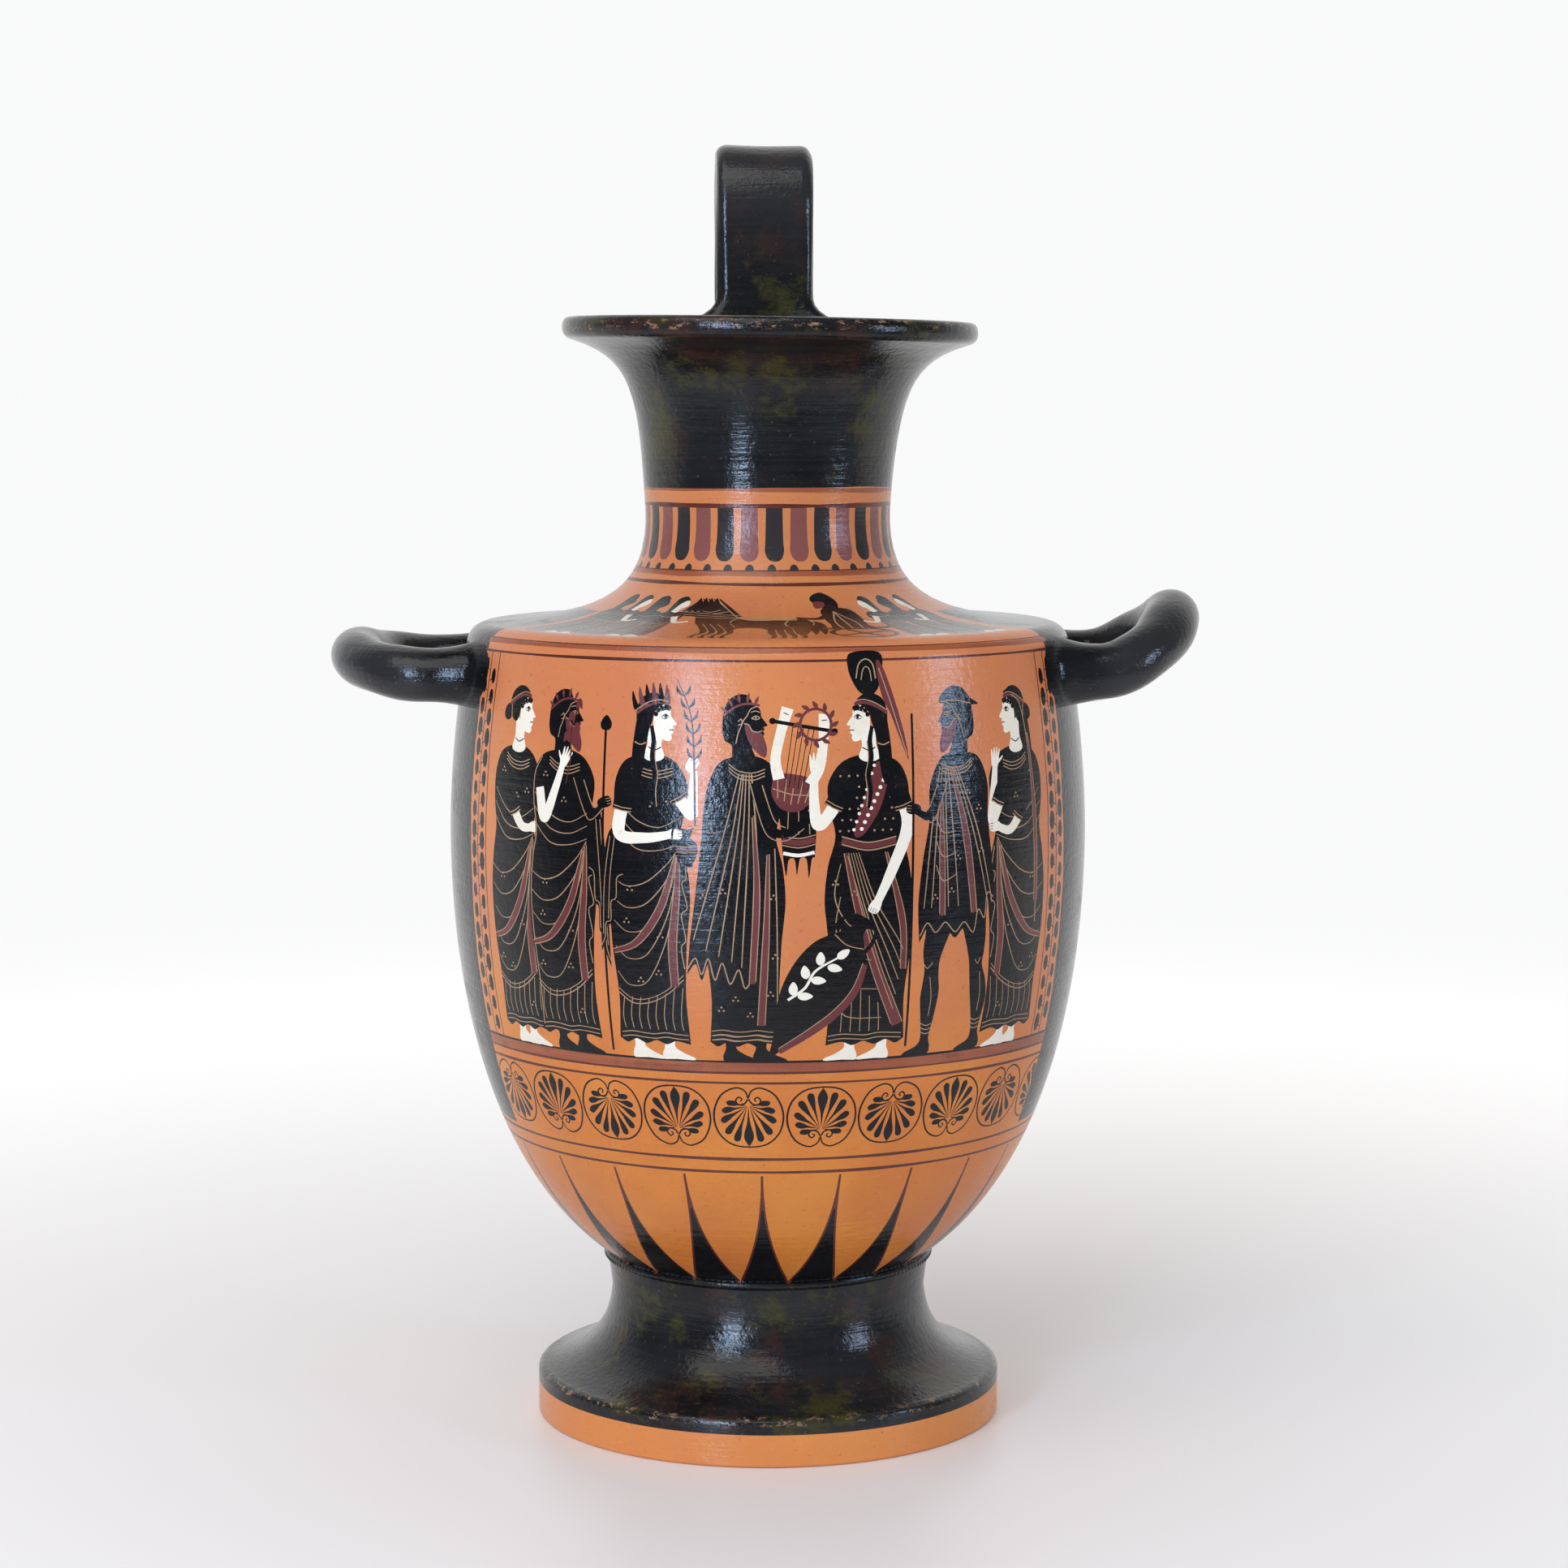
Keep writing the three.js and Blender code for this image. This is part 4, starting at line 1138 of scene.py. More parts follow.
# The painted skin of the wall. Slip and added colours lie flush on the clay, fired into it. So the wall
# is one sheet of triangles whose edges follow the painted outlines, and each triangle takes the finish
# of the last area laid over it. Its rows stand closer together where the wall bends.
columns, longest_side, outline_slack, merge_within = 160, 3.6, 0.045, 0.002
row_steps, row_turn, last_row_gap = (5.0, 3.5, 2.4, 1.6, 1.0, 0.6, 0.35), math.radians(9), 0.3
normal_reach, seam_slack, same_place = 0.35, 0.01, 1e-3
sheet_top = outer_run[-1]


def thinned(outline):
    """The same outline with the points left out that it can do without."""
    keep = np.zeros(len(outline), bool)
    far = int(np.argmax(np.hypot(*(outline - outline[0]).T)))
    loop = np.vstack([outline, outline[:1]])
    spans = [(0, far), (far, len(outline))]
    keep[0] = keep[far] = True
    while spans:
        a, b = spans.pop()
        if b - a < 2:
            continue
        way = loop[b] - loop[a]
        rest = loop[a + 1:b] - loop[a]
        length = math.hypot(*way)
        if length > 1e-9:
            off = np.abs(rest[:, 0] * way[1] - rest[:, 1] * way[0]) / length
        else:
            off = np.hypot(*rest.T)
        worst = int(np.argmax(off))
        if off[worst] > outline_slack:
            middle = a + 1 + worst
            keep[middle] = True
            spans += [(a, middle), (middle, b)]
    return outline[keep]


def divided(outline):
    """Long straight sides get more points, so that they bend with the wall."""
    found = []
    for a, b in zip(outline, np.roll(outline, -1, axis=0)):
        parts = max(1, math.ceil(math.dist(a, b) / longest_side))
        found.append(a + (b - a) * (np.arange(parts) / parts)[:, None])
    return np.vstack(found)


def wall_rows():
    """Where the sheet's rows run: each takes the longest step in which the wall turns little."""
    way = np.arctan2(*np.diff(outer, axis=0).T)
    middles = (outer_run[1:] + outer_run[:-1]) / 2
    turned = np.concatenate([[0], np.cumsum(np.abs(np.diff(np.unwrap(way))))])
    rows = [0.0]
    while True:
        ahead = rows[-1] + np.array(row_steps)
        turn = np.interp(ahead, middles, turned) - np.interp(rows[-1], middles, turned)
        fits = ahead[turn < row_turn]
        run = float(fits[0]) if len(fits) else float(ahead[-1])
        if run >= sheet_top - last_row_gap:
            return np.array(rows + [sheet_top])
        rows.append(run)


def wall_point(u, v):
    """A place on the unrolled wall, as a point of the real wall."""
    radius, height = np.interp(v, outer_run, outer_radius), np.interp(v, outer_run, outer_height)
    turn = u / sheet_radius
    return np.column_stack([radius * np.sin(turn), -radius * np.cos(turn), height])


def wall_normal(u, v):
    """The way that the wall faces there, taken over a short stretch of its line."""
    ahead, behind = v + normal_reach, v - normal_reach
    wider_by = np.interp(ahead, outer_run, outer_radius) - np.interp(behind, outer_run, outer_radius)
    higher_by = np.interp(ahead, outer_run, outer_height) - np.interp(behind, outer_run, outer_height)
    size = np.hypot(wider_by, higher_by)
    out, up = higher_by / size, -wider_by / size
    turn = u / sheet_radius
    return np.column_stack([out * np.sin(turn), -out * np.cos(turn), up])


def once_round(areas):
    """The areas, with each that crosses the back seam laid on the sheet's other side as well."""
    for paint, outline in areas:
        yield paint, outline
        for way in (-1, 1):
            if (way * outline[:, 0]).max() > half_sheet + seam_slack:
                yield paint, outline - (2 * way * half_sheet, 0)


def covered(shape, spots):
    """Which spots a shape covers, by how often its outline winds round them."""
    winds = np.zeros(len(spots), int)
    x, y = spots.T
    for (ax, ay), (bx, by) in zip(shape, np.roll(shape, -1, axis=0)):
        side = (bx - ax) * (y - ay) - (x - ax) * (by - ay)
        winds += ((ay <= y) & (by > y) & (side > 0)).astype(int)
        winds -= ((ay > y) & (by <= y) & (side < 0)).astype(int)
    return winds != 0


rows = wall_rows()
column_u = np.linspace(-half_sheet, half_sheet, columns + 1)
row_length, top_start = columns + 1, (len(rows) - 1) * (columns + 1)
points = [np.array([(u, v) for v in rows for u in column_u])]
edges = []
for c in range(columns):
    edges += [(c, c + 1), (top_start + c, top_start + c + 1)]
for start in range(0, top_start, row_length):
    edges += [(start, start + row_length), (start + columns, start + columns + row_length)]
count = len(points[0])
shapes = []
for paint, outline in once_round(painted):
    shape = thinned(outline)
    shapes.append((paint, shape))
    shape = divided(shape)
    beyond_ends = (shape[:, 1] > sheet_top - 1e-6) | (shape[:, 1] < 1e-6)
    on_edge = (np.abs(np.abs(shape[:, 0]) - half_sheet) < 1e-6) | beyond_ends
    for k in range(len(shape)):
        following = (k + 1) % len(shape)
        if not (on_edge[k] and on_edge[following]):
            edges.append((count + k, count + following))
    points.append(shape)
    count += len(shape)
found, _, triangles, *_ = delaunay_2d_cdt(
    [Vector(point) for point in np.vstack(points).tolist()], edges, [], 0, merge_within, False)
flat = np.array([tuple(point) for point in found])
triangles = np.array(triangles)
a, b, c = (flat[triangles[:, k]] for k in range(3))
if ((b[:, 0] - a[:, 0]) * (c[:, 1] - a[:, 1]) - (b[:, 1] - a[:, 1]) * (c[:, 0] - a[:, 0])).sum() < 0:
    triangles = triangles[:, ::-1]
middle = flat[triangles].mean(axis=1)
on_sheet = (np.abs(middle[:, 0]) < half_sheet) & (middle[:, 1] > 0) & (middle[:, 1] < sheet_top)
triangles, middle = triangles[on_sheet], middle[on_sheet]

paint_of = np.full(len(triangles), "clay", object)
upwards = np.argsort(middle[:, 1])
for paint, shape in shapes:
    low, high = np.searchsorted(middle[upwards, 1], [shape[:, 1].min(), shape[:, 1].max()])
    some = upwards[low:high]
    some = some[(middle[some, 0] > shape[:, 0].min()) & (middle[some, 0] < shape[:, 0].max())]
    paint_of[some[covered(shape, middle[some])]] = paint

# The sheet is closed at the back seam, where its right edge takes the left edge's points.
same = np.arange(len(flat))
right_seam = np.flatnonzero(np.abs(flat[:, 0] - half_sheet) < same_place)
left_seam = np.flatnonzero(np.abs(flat[:, 0] + half_sheet) < same_place)
for k in right_seam:
    same[k] = left_seam[np.argmin(np.abs(flat[left_seam, 1] - flat[k, 1]))]
body_verts = [wall_point(*flat.T)]
body_faces = same[triangles].tolist()
body_uvs = [flat[t] for t in triangles]
body_normals = [wall_normal(*flat[t].T) for t in triangles]
body_paints = list(paint_of)

# The inside and the underside. Both are left as the potter's fingers and knife made them: bare clay,
# but for the mouth, where the black runs over the lip and a little way down. The foot is hollow.
fired("inside", "bare_clay", (0.42, 0.15, 0.06), [
    ("Cloud", (0.5, 0.2, 0.09), 0.7), ("Speck", (0.25, 0.08, 0.04), 0.4)], (0.75, 0.85), (0.3, 0.0004))
wall, floor_top, floor_radius, mouth_radius, mouth_black_low = 6.3, 64.0, 40.0, 69.2, 352.0
foot_hollow_top, foot_hollow_radius, foot_hollow_flat = 55.0, 72.0, 38.0
chart_scale, inside_chart, underside_chart = 0.26, sheet_top + 6, -46


def inner_line():
    """From the lip's edge over the mouth and down the inside to the middle of the floor."""
    lip_edge = lip_radius - lip_round, lip_top
    mouth_edge = mouth_radius + 1.2, lip_top
    mouth = mouth_radius - 0.8, lip_top - 1.2
    neck = neck_radius - wall, neck_height
    shoulder = shoulder_radius - wall, shoulder_height - wall
    wall_top = wall_top_radius - wall, wall_top_height - 6
    belly = belly_radius - wall, belly_height
    floor_edge = floor_radius, floor_top
    return np.vstack([
        outer[-1:],
        bend(lip_edge, mouth_edge, parts=3),
        bend(mouth_edge, (mouth_radius, lip_top - 0.1), mouth, parts=3),
        bend(mouth, (46, 403), (41, 384), neck, parts=16),
        bend(neck, (neck_radius - wall, 307), (52, 295.5), shoulder, parts=12),
        bend(shoulder, (104.6, 291), wall_top, parts=4),
        bend(wall_top, (109.5, 268), (belly_radius - wall, 243), belly, parts=8),
        bend(belly, (belly_radius - wall, 160), (76, 72), floor_edge, parts=16),
        bend(floor_edge, (0, floor_top), parts=3),
    ])


def under_line():
    """From the foot's edge over its standing ring, and up its hollow to the middle."""
    outer_edge = foot_radius, foot_standing_edge
    ring_out = foot_radius - 1.2, 0
    ring_in = foot_hollow_radius + 1, 0
    hollow_edge = foot_hollow_radius - 0.9, 0.6
    hollow_side = 49, foot_hollow_top - 8
    hollow_top = foot_hollow_flat, foot_hollow_top
    return np.vstack([
        outer[:1],
        bend(outer_edge, (foot_radius, 0), ring_out, parts=3),
        bend(ring_out, ring_in, parts=2),
        bend(ring_in, (foot_hollow_radius, 0), hollow_edge, parts=2),
        bend(hollow_edge, (60, 8), (50, 22), hollow_side, parts=10),
        bend(hollow_side, (48, foot_hollow_top), hollow_top, parts=5),
        bend(hollow_top, (0, foot_hollow_top), parts=3),
    ])


def border_ring(v):
    """The sheet's own points along its top or bottom edge, from left to right."""
    ring = np.flatnonzero((np.abs(flat[:, 1] - v) < same_place) & (flat[:, 0] < half_sheet - seam_slack))
    return ring[np.argsort(flat[ring, 0])]


def lathe(turned, border, outward, chart_v, paints):
    """Rings turned from a line, from the sheet's border to one point on the axis."""
    turn = column_u[:-1] / sheet_radius
    column_width = column_u[1] - column_u[0]
    run = length_along(turned)
    way = np.gradient(turned, axis=0)
    out, up = outward * way[:, 1] / np.hypot(*way.T), -outward * way[:, 0] / np.hypot(*way.T)
    ids = [border]
    for radius, height in turned[1:]:
        start = sum(len(verts) for verts in body_verts)
        if radius > 0:
            ring = np.column_stack([radius * np.sin(turn), -radius * np.cos(turn), np.full(columns, height)])
            ids.append(start + np.arange(columns))
        else:
            ring = np.array([[0, 0, height]])
            ids.append(np.full(columns, start))
        body_verts.append(ring)
    for k in range(len(turned) - 1):
        for c in range(columns):
            corners = [(k, c), (k, c + 1), (k + 1, c + 1), (k + 1, c)]
            if turned[k + 1][0] <= 0:
                corners = [(k, c), (k, c + 1), (k + 1, c + 0.5)]
            corners = corners[::outward]
            uvs = [(column_u[0] + at * column_width, chart_v + chart_scale * run[j]) for j, at in corners]
            normals = [(out[j] * math.sin(u / sheet_radius), -out[j] * math.cos(u / sheet_radius), up[j])
                       for (j, _), (u, _) in zip(corners, uvs)]
            body_faces.append([int(ids[j][int(at) % columns]) for j, at in corners])
            body_uvs.append(uvs)
            body_normals.append(normals)
            body_paints.append(paints[k])


def closed_mesh(name, verts, faces, uvs, normals, paints):
    """A mesh with its chart, its finishes and the normals that it is shaded by, in metres."""
    mesh = bpy.data.meshes.new(name)
    mesh.from_pydata((np.asarray(verts) / 1000).tolist(), [], faces)
    finishes = list(looks)
    for finish in finishes:
        mesh.materials.append(looks[finish])
    mesh.polygons.foreach_set("material_index", [finishes.index(paint) for paint in paints])
    mesh.uv_layers.new(name="OFBake").data.foreach_set("uv", np.vstack(uvs).ravel())
    shade = mesh.attributes.new("shade", "FLOAT_VECTOR", "CORNER")
    shade.data.foreach_set("vector", np.vstack(normals).ravel())
    made = bpy.data.objects.new(name, mesh)
    bpy.context.scene.collection.objects.link(made)
    return made


inside = inner_line()
inside_paints = ["glaze" if height > mouth_black_low else "inside" for _, height in inside]
lathe(inside, border_ring(sheet_top), 1, inside_chart, inside_paints)
under = under_line()
lathe(under, border_ring(0.0), -1, underside_chart, ["clay"] * len(under))
body = closed_mesh("body", np.vstack(body_verts), body_faces, body_uvs, body_normals, body_paints)
sheet = bmesh.new()
sheet.from_mesh(body.data)
bmesh.ops.delete(sheet, geom=[vert for vert in sheet.verts if not vert.link_faces], context="VERTS")
sheet.to_mesh(body.data)
sheet.free()

# The two side handles. Each is a round bar of clay, rolled by hand, bent to a loop that rises a little
# and pressed on to the shoulder, where its ends spread. They aren't quite alike, and both are black.
root_spacing, root_depth, root_spread, root_length, root_blend = 76.0, 100.0, 5.0, 24.0, 7.0
root_rings, root_ring_step = 30, 0.12
handle_parts, handle_sides, handle_chart = 96, 36, sheet_top + 150


def eased(share):
    """A share from 0 to 1 that starts and ends gently."""
    share = np.clip(share, 0, 1)
    return share * share * (3 - 2 * share)


def curve_through(points, parts):
    """A centripetal curve through the points in even steps, and how far along it each step lies."""
    p = np.array(points, float)
    p = np.vstack([2 * p[0] - p[1], p, 2 * p[-1] - p[-2]])
    found = []
    for a, b, c, d in zip(p[:-3], p[1:-2], p[2:-1], p[3:]):
        t0, t1, t2, t3 = np.cumsum([0] + [math.sqrt(math.dist(*pair)) for pair in ((a, b), (b, c), (c, d))])
        t = np.linspace(t1, t2, 30)[:-1, None]
        ab = (t1 - t) / (t1 - t0) * a + (t - t0) / (t1 - t0) * b
        bc = (t2 - t) / (t2 - t1) * b + (t - t1) / (t2 - t1) * c
        cd = (t3 - t) / (t3 - t2) * c + (t - t2) / (t3 - t2) * d
        abc = (t2 - t) / (t2 - t0) * ab + (t - t0) / (t2 - t0) * bc
        bcd = (t3 - t) / (t3 - t1) * bc + (t - t1) / (t3 - t1) * cd
        found.append((t2 - t) / (t2 - t1) * abc + (t - t1) / (t2 - t1) * bcd)
    found = np.vstack(found + [p[-2:-1]])
    run = length_along(found)
    even = np.linspace(0, run[-1], parts + 1)
    return np.column_stack([np.interp(even, run, axis) for axis in found.T]), even


def wall_gap(points):
    """How far points stand off the wall, and the wall's normal beside them."""
    keep = (outer_height > joint_height + 2) & (outer_height < neck_height + 3)
    off = np.hypot(np.hypot(points[:, 0], points[:, 1])[:, None] - outer_radius[keep],
                   points[:, 2][:, None] - outer_height[keep])
    nearest = np.argmin(off, axis=1)
    u = np.arctan2(points[:, 0], -points[:, 1]) * sheet_radius
    return off[np.arange(len(points)), nearest], wall_normal(u, outer_run[keep][nearest])


def swept(name, centres, sides, outs, sections, settle, chart):
    """A bar through rings of points; near the wall it is shaded as the wall is, so that it flows into it."""
    rings = np.array([centre + section[:, :1] * side + section[:, 1:] * out
                      for centre, side, out, section in zip(centres, sides, outs, sections)])
    rings = settle(rings)
    n, m, _ = rings.shape
    around = np.roll(rings, -1, axis=1) - np.roll(rings, 1, axis=1)
    normal = np.cross(np.gradient(rings, axis=0), around).reshape(-1, 3)
    normal /= np.maximum(np.linalg.norm(normal, axis=1), 1e-9)[:, None]
    gap, skin = wall_gap(rings.reshape(-1, 3))
    share = eased(gap / root_blend)[:, None]
    mix = share * normal + (1 - share) * skin
    mix /= np.linalg.norm(mix, axis=1)[:, None]
    along = chart[0] + length_along(rings.mean(axis=1))
    girth = chart[1] + length_along(np.vstack([rings[n // 2], rings[n // 2][:1]]))
    verts = list(rings.reshape(-1, 3))
    faces, uvs, normals = [], [], []
    for i in range(n - 1):
        for j in range(m):
            k = (j + 1) % m
            ids = [i * m + j, i * m + k, (i + 1) * m + k, (i + 1) * m + j]
            faces.append(ids)
            uvs.append([(along[i], girth[j]), (along[i], girth[j + 1]),
                        (along[i + 1], girth[j + 1]), (along[i + 1], girth[j])])
            normals.append(mix[ids])
    for end, order in ((0, -1), (n - 1, 1)):
        verts.append(rings[end].mean(axis=0))
        for j in range(m):
            faces.append([end * m + j, end * m + (j + 1) % m, len(verts) - 1][::order])
            uvs.append([(along[end], girth[j])] * 3)
            normals.append([mix[end * m + j]] * 3)
    made = closed_mesh(name, np.array(verts), faces, uvs, normals, ["glaze"] * len(faces))
    solid = bmesh.new()
    solid.from_mesh(made.data)
    if solid.calc_volume(signed=True) < 0:
        bmesh.ops.reverse_faces(solid, faces=solid.faces)
    solid.to_mesh(made.data)
    solid.free()
    return made


def frames(centres, level_side=None):
    """Across and out of a bar at each of its centres."""
    way = np.gradient(centres, axis=0)
    way /= np.linalg.norm(way, axis=1)[:, None]
    if level_side is not None:
        sides = np.tile(level_side, (len(way), 1))
        return sides, np.cross(sides, way)
    sides = np.cross(way, (0, 0, 1.0))
    sides /= np.linalg.norm(sides, axis=1)[:, None]
    return sides, np.cross(sides, way)


def side_handle(name, side, bar, reach, root_height, rise, chart_u):
    """A handle on one side: its bar's thickness, how far out it reaches, and how its loop rises."""
    half = root_spacing / 2
    tip = reach - bar / 2
    corner = tip - 9

    def place(x, y, share):
        return (side * x, y, root_height + share * rise)
    front_half = [place(root_depth, -half, 0), place(root_depth + 16, -half, 0),
                  place(corner - 14, 1 - half, 0.08), place(corner, 11 - half, 0.5)]
    back_half = [(x, -y, z) for x, y, z in front_half[::-1]]
    centres, run = curve_through(front_half + [place(tip, 0, 1)] + back_half, handle_parts)
    turn = np.arange(handle_sides) * 2 * math.pi / handle_sides
    circle = np.column_stack([np.cos(turn), np.sin(turn)])
    sections = []
    for here in run:
        near = min(here, run[-1] - here)
        flare = root_spread * (1 - min(1.0, near / root_length)) ** 2.2
        uneven = 0.25 * math.sin(here / 9.0 + side) + 0.18 * math.sin(here / 4.1)
        sections.append((bar / 2 + flare + uneven * min(1, near / 40)) * circle)

    def pressed_on(rings):
        """No ring of either root goes deeper than the middle of the wall's thickness."""
        for order in (1, -1):
            for k, ring in enumerate(rings[::order][:root_rings]):
                middle = np.interp(ring[:, 2], outer_height, outer_radius) - wall / 2
                least = np.sqrt(np.maximum(middle**2 - ring[:, 1] ** 2, 0)) + root_ring_step * k
                ring[:, 0] = side * np.maximum(side * ring[:, 0], least)
        return rings
    return swept(name, centres, *frames(centres), sections, pressed_on, (chart_u, handle_chart))


left = side_handle("left_handle", -1, 19.5, 162.5, 280.5, 5, -355)
right = side_handle("right_handle", 1, 20.5, 160.5, 281.5, 18, -115)

# The strap handle. A flat strap of clay with round edges starts on the back of the lip, where its ends
# are spread to two spurs, goes up and over, and comes down to the shoulder. It was set on a little
# askew, and is black like the lip.
strap_top, strap_width, strap_thickness, strap_corner, strap_skew = 478.6, 37.6, 12.0, 4.5, math.radians(1.9)
lip_reach, back_reach, shoulder_reach, spur_height, spur_width = 72.0, 107.0, 89.0, 11.0, 13.0
strap_parts, strap_rising_parts, strap_root_rings, strap_root_deep, strap_chart_u = 130, 60, 24, 3.0, 125


def strap_line():
    """The strap's middle in even steps, and how far along it each step lies."""
    crown = strap_top - strap_thickness / 2
    rise_end = lip_reach, 452
    top_middle = (lip_reach + back_reach) / 2, crown
    fall_start = back_reach, 450
    path = np.vstack([
        [(lip_reach - 2, 402)],
        bend((lip_reach - 2, 402), (lip_reach - 1, 420), (lip_reach, 440), rise_end),
        bend(rise_end, (lip_reach, 466), (lip_reach + 6, crown), top_middle),
        bend(top_middle, (100, crown), (back_reach, 464), fall_start),
        bend(fall_start, (back_reach, 400), (back_reach - 3, 340), (shoulder_reach, 296)),
    ])
    run = length_along(path)
    even = np.linspace(0, run[-1], strap_parts + 1)
    behind, height = np.interp(even, run, path[:, 0]), np.interp(even, run, path[:, 1])
    return np.column_stack([0 * even, behind, height]), even


def strap_section():
    """The strap seen end on, with points along its two wide sides."""
    half_wide, half_thick = strap_width / 2 - strap_corner, strap_thickness / 2 - strap_corner
    section = []
    for side, up, start in ((1, 1, 0), (-1, 1, 90), (-1, -1, 180), (1, -1, 270)):
        turn = np.radians(np.linspace(start, start + 90, 7))
        corner = strap_corner * np.column_stack([np.cos(turn), np.sin(turn)])
        section.append(corner + (side * half_wide, up * half_thick))
        if side == up:
            section.append([(side * x * half_wide, up * strap_thickness / 2) for x in (0.6, 0.2, -0.2, -0.6)])
    return np.vstack(section)


def strap_handle():
    """The strap, with its spurs on the lip and its spread lower end."""
    centres, even = strap_line()
    plain = strap_section()
    aside = np.abs(plain[:, 0] / (strap_width / 2)) ** 3
    spurs = np.maximum(0.0, 1 - np.maximum(0.0, centres[:, 2] - lip_top) / spur_height)
    spurs[strap_rising_parts:] = 0
    sections = []
    for here, spur in zip(even, spurs):
        left_over = even[-1] - here
        spread = 1 + 0.16 * max(0, 1 - left_over / 26) ** 2
        thick = 1 + 0.55 * max(0, 1 - left_over / 20) ** 2
        section = plain * (spread, thick)
        section[:, 0] += np.sign(plain[:, 0]) * spur_width * spur**2.6 * aside
        section[:, 1] *= 1 - 0.32 * spur**2 * aside
        uneven = np.column_stack([np.sin(here / 11 + plain[:, 1]), np.sin(here / 7 + plain[:, 0] / 6)])
        sections.append(section + 0.2 * uneven * (1 - spur))

    def set_on(rings):
        """The spurs follow the lip's curve, the strap is askew, and its lower end stays out of the jar."""
        x, y = rings[:, :, 0].copy(), rings[:, :, 1].copy()
        y -= spurs[:, None] * (y - np.sqrt(np.maximum(y**2 - x**2, 1)))
        rings[:, :, 0] = x * math.cos(strap_skew) - y * math.sin(strap_skew)
        rings[:, :, 1] = x * math.sin(strap_skew) + y * math.cos(strap_skew)
        slope = outer[(outer_height > shoulder_height - 2) & (outer_height < neck_height)][::-1]
        for k, ring in enumerate(rings[::-1][:strap_root_rings]):
            surface = np.interp(np.hypot(ring[:, 0], ring[:, 1]), *slope.T)
            ring[:, 2] = np.maximum(ring[:, 2], surface - strap_root_deep + root_ring_step * k)
        return rings
    return swept("strap", centres, *frames(centres, (1.0, 0, 0)), sections, set_on,
                 (strap_chart_u, handle_chart))


strap = strap_handle()

# The whole jar. Body and handles are one piece of fired clay, so they are joined to one closed skin. In
# the kiln the neck leaned a little and the lip sank on its right.
lean_low, lean_high, lip_dip, neck_shift = 0.34, 0.40, math.radians(0.9), 0.0009
chart_shift, chart_size = (365, 50), 870
for bar in (left, right, strap):
    join = body.modifiers.new("join", "BOOLEAN")
    join.operation = "UNION"
    join.solver = "MANIFOLD"
    join.material_mode = "TRANSFER"
    join.object = bar
bpy.context.view_layer.update()
depsgraph = bpy.context.evaluated_depsgraph_get()
joined = bpy.data.meshes.new_from_object(
    body.evaluated_get(depsgraph), preserve_all_data_layers=True, depsgraph=depsgraph)
for made in (left, right, strap, body):
    bpy.data.objects.remove(made)
hydria = bpy.data.objects.new("hydria_painted", joined)
bpy.context.scene.collection.objects.link(hydria)


def read(rows, name, width):
    """One kind of value of all rows of a mesh."""
    values = np.zeros(len(rows) * width)
    rows.foreach_get(name, values)
    return values.reshape(-1, width)


places = read(joined.vertices, "co", 3)
share = eased((places[:, 2] - lean_low) / (lean_high - lean_low))
places[:, 2] -= share * places[:, 0] * math.tan(lip_dip)
places[:, 0] += neck_shift * share
joined.vertices.foreach_set("co", places.ravel())
chart = joined.uv_layers["OFBake"].data
chart.foreach_set("uv", ((read(chart, "uv", 2) + chart_shift) / chart_size).ravel())
shade = read(joined.attributes["shade"].data, "vector", 3)
shade /= np.maximum(np.linalg.norm(shade, axis=1), 1e-6)[:, None]
joined.attributes.remove(joined.attributes["shade"])
joined.polygons.foreach_set("use_smooth", [True] * len(joined.polygons))
joined.normals_split_custom_set(shade.tolist())
joined.update()
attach(hydria, "root")
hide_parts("hydria")

# The table. A pale board with a soft sheen, which glows more and more further out and turns into plain
# glowing white, so that no edge of it shows. In what shines, the room before the table is dim.
table_radius, table_corners = 6.0, 64
board_colour, white_colour, plain_white = (0.80, 0.755, 0.73, 1), (0.995, 0.997, 1.0, 1), 0.955
colour_ends, glow_ends, board_ends, dim_front = (0.15, 1.3), (0.10, 1.1), (0.5, 1.6), (-0.5, 0.4)


def seen_by(tree, ray, plain, other):
    """One brightness for most rays, and another for one kind of ray."""
    node = tree.nodes.new("ShaderNodeMix")
    tree.links.new(tree.nodes.new("ShaderNodeLightPath").outputs[ray], node.inputs[0])
    feed(tree, node.inputs[2], plain)
    feed(tree, node.inputs[3], other)
    return node.outputs[0]


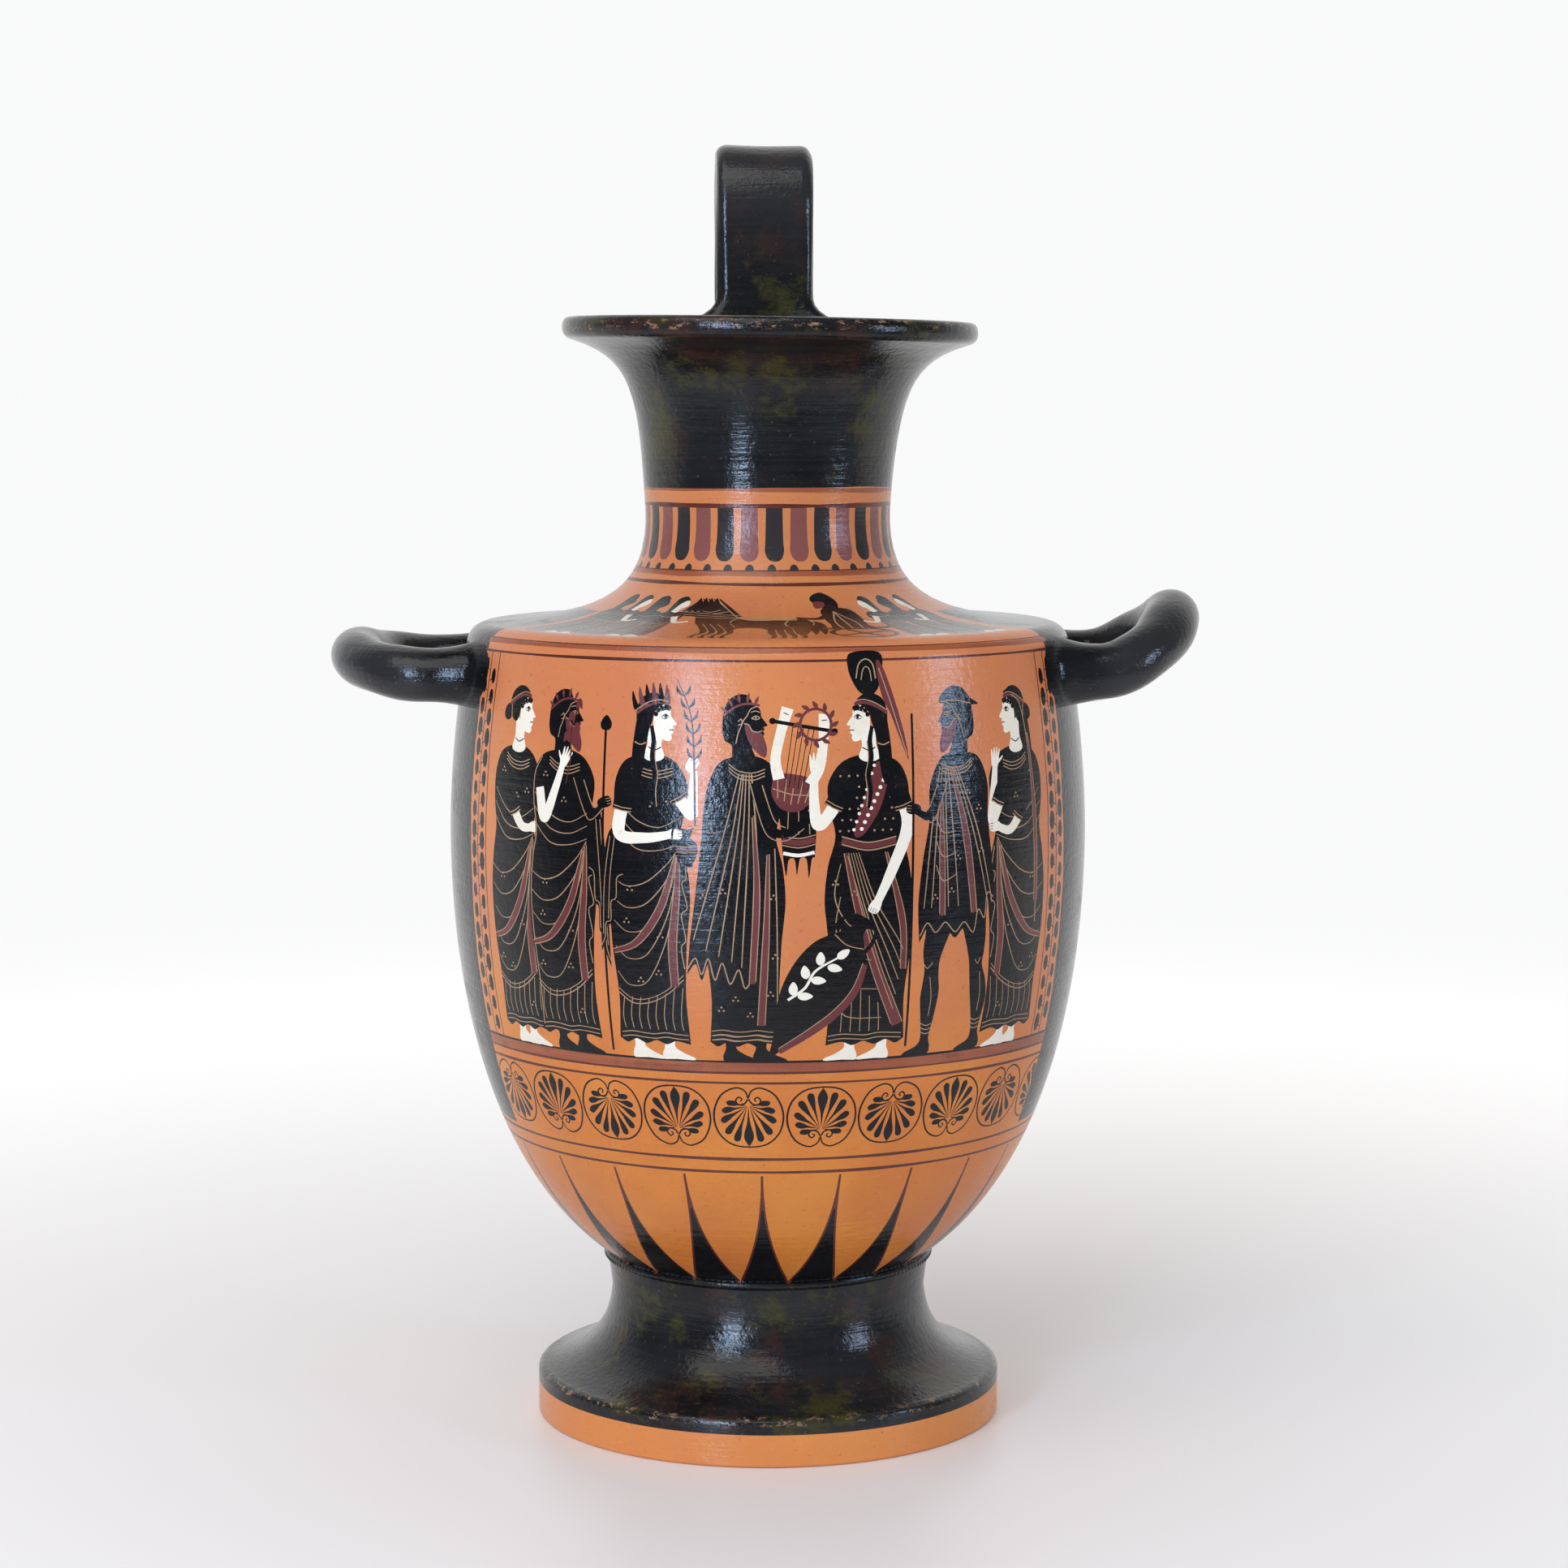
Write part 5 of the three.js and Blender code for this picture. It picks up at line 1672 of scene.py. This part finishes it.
def white_table():
    """The board's finish, which glows more further out and gives way to plain glowing white."""
    made = bpy.data.materials.new("white_table")
    made.use_nodes = True
    tree = made.node_tree
    shader = tree.nodes["Principled BSDF"]
    where = tree.nodes.new("ShaderNodeTexCoord").outputs["Object"]
    split = tree.nodes.new("ShaderNodeSeparateXYZ")
    tree.links.new(where, split.inputs[0])
    reach = tree.nodes.new("ShaderNodeVectorMath")
    reach.operation = "LENGTH"
    tree.links.new(where, reach.inputs[0])
    far = reach.outputs["Value"]
    board = mixed(tree, ramp(tree, far, *colour_ends), board_colour, (0, 0, 0, 1))
    tree.links.new(board, shader.inputs["Base Color"])
    dim = seen_by(tree, "Is Glossy Ray", 1, ramp(tree, split.outputs["Y"], *dim_front, 0.05, 1))
    glow = maths(tree, "MULTIPLY", ramp(tree, far, *glow_ends, 0.03, 0.80), dim)
    tree.links.new(glow, shader.inputs["Emission Strength"])
    shader.inputs["Emission Color"].default_value = (1, 1, 1, 1)
    shader.inputs["Roughness"].default_value = 0.38
    shader.inputs["Specular IOR Level"].default_value = 0.35
    plain = tree.nodes.new("ShaderNodeEmission")
    plain.inputs["Color"].default_value = white_colour
    tree.links.new(maths(tree, "MULTIPLY", dim, plain_white), plain.inputs["Strength"])
    blend = tree.nodes.new("ShaderNodeMixShader")
    tree.links.new(ramp(tree, far, *board_ends), blend.inputs[0])
    tree.links.new(shader.outputs[0], blend.inputs[1])
    tree.links.new(plain.outputs[0], blend.inputs[2])
    tree.links.new(blend.outputs[0], tree.nodes["Material Output"].inputs["Surface"])
    return made


around = np.linspace(0, 2 * math.pi, table_corners, endpoint=False)
corners = np.column_stack([table_radius * np.cos(around), table_radius * np.sin(around), 0 * around])
table_mesh = bpy.data.meshes.new("table")
table_mesh.from_pydata(corners.tolist(), [], [range(table_corners)])
table_mesh.materials.append(white_table())
table = bpy.data.objects.new("table", table_mesh)
bpy.context.scene.collection.objects.link(table)

# The light and the room. Windows of blue daylight, two to the left and one to the right, draw upright
# streaks on the gloss, and a broad warm ceiling lights the jar from before it. The room is white behind
# the table, and dim before it.
light_aim = Vector((0, 0, 0.24))
room_front, front_light, front_gloss, back_light = (0.05, 0.75), 0.48, 0.09, 0.95


def softbox(name, azimuth, elevation, distance, size, power, colour):
    """A rectangular lamp that looks at the jar's belly."""
    light = bpy.data.lights.new(name, "AREA")
    light.shape = "RECTANGLE"
    light.size, light.size_y = size
    light.energy = power
    light.color = colour
    lamp = bpy.data.objects.new(name, light)
    a, e = math.radians(azimuth), math.radians(elevation)
    way = Vector((math.sin(a) * math.cos(e), -math.cos(a) * math.cos(e), math.sin(e)))
    lamp.location = light_aim + distance * way
    lamp.rotation_euler = way.to_track_quat("Z", "Y").to_euler()
    lamp.visible_camera = False
    bpy.context.scene.collection.objects.link(lamp)


softbox("left_window", -24, 3, 1.9, (0.28, 0.50), 15, (0.54, 0.72, 1.0))
softbox("left_sky", -30, 20, 2.2, (0.30, 0.34), 10, (0.50, 0.69, 1.0))
softbox("right_window", 67, 9, 1.9, (0.36, 0.36), 7, (0.52, 0.70, 1.0))
softbox("ceiling", -30, 52, 2.6, (2.4, 1.8), 27, (1.0, 0.985, 0.96))

world = bpy.data.worlds.new("room")
world.use_nodes = True
room = world.node_tree
split = room.nodes.new("ShaderNodeSeparateXYZ")
room.links.new(room.nodes.new("ShaderNodeTexCoord").outputs["Generated"], split.inputs[0])
light_on_things = ramp(room, split.outputs["Y"], *room_front, front_light, back_light)
light_in_gloss = ramp(room, split.outputs["Y"], *room_front, front_gloss, back_light)
light_of_room = seen_by(room, "Is Glossy Ray", light_on_things, light_in_gloss)
brightness = seen_by(room, "Is Camera Ray", light_of_room, plain_white)
room.nodes["Background"].inputs["Color"].default_value = white_colour
room.links.new(brightness, room.nodes["Background"].inputs["Strength"])
bpy.context.scene.world = world
bpy.context.scene.view_settings.view_transform = "Standard"

# The camera. It has a long portrait lens, stands 1.36 metres before the jar's axis and above the middle
# of its height, and looks slightly down.
lens_length, film_width, camera_tilt, camera_place = 83.85, 36, math.radians(6.04), (0.00604, -1.359, 0.3806)
lens = bpy.data.cameras.new("camera")
lens.lens = lens_length
lens.sensor_width = film_width
camera = bpy.data.objects.new("camera", lens)
camera.location = camera_place
camera.rotation_euler = (math.pi / 2 - camera_tilt, 0, 0)
bpy.context.scene.collection.objects.link(camera)
bpy.context.scene.camera = camera
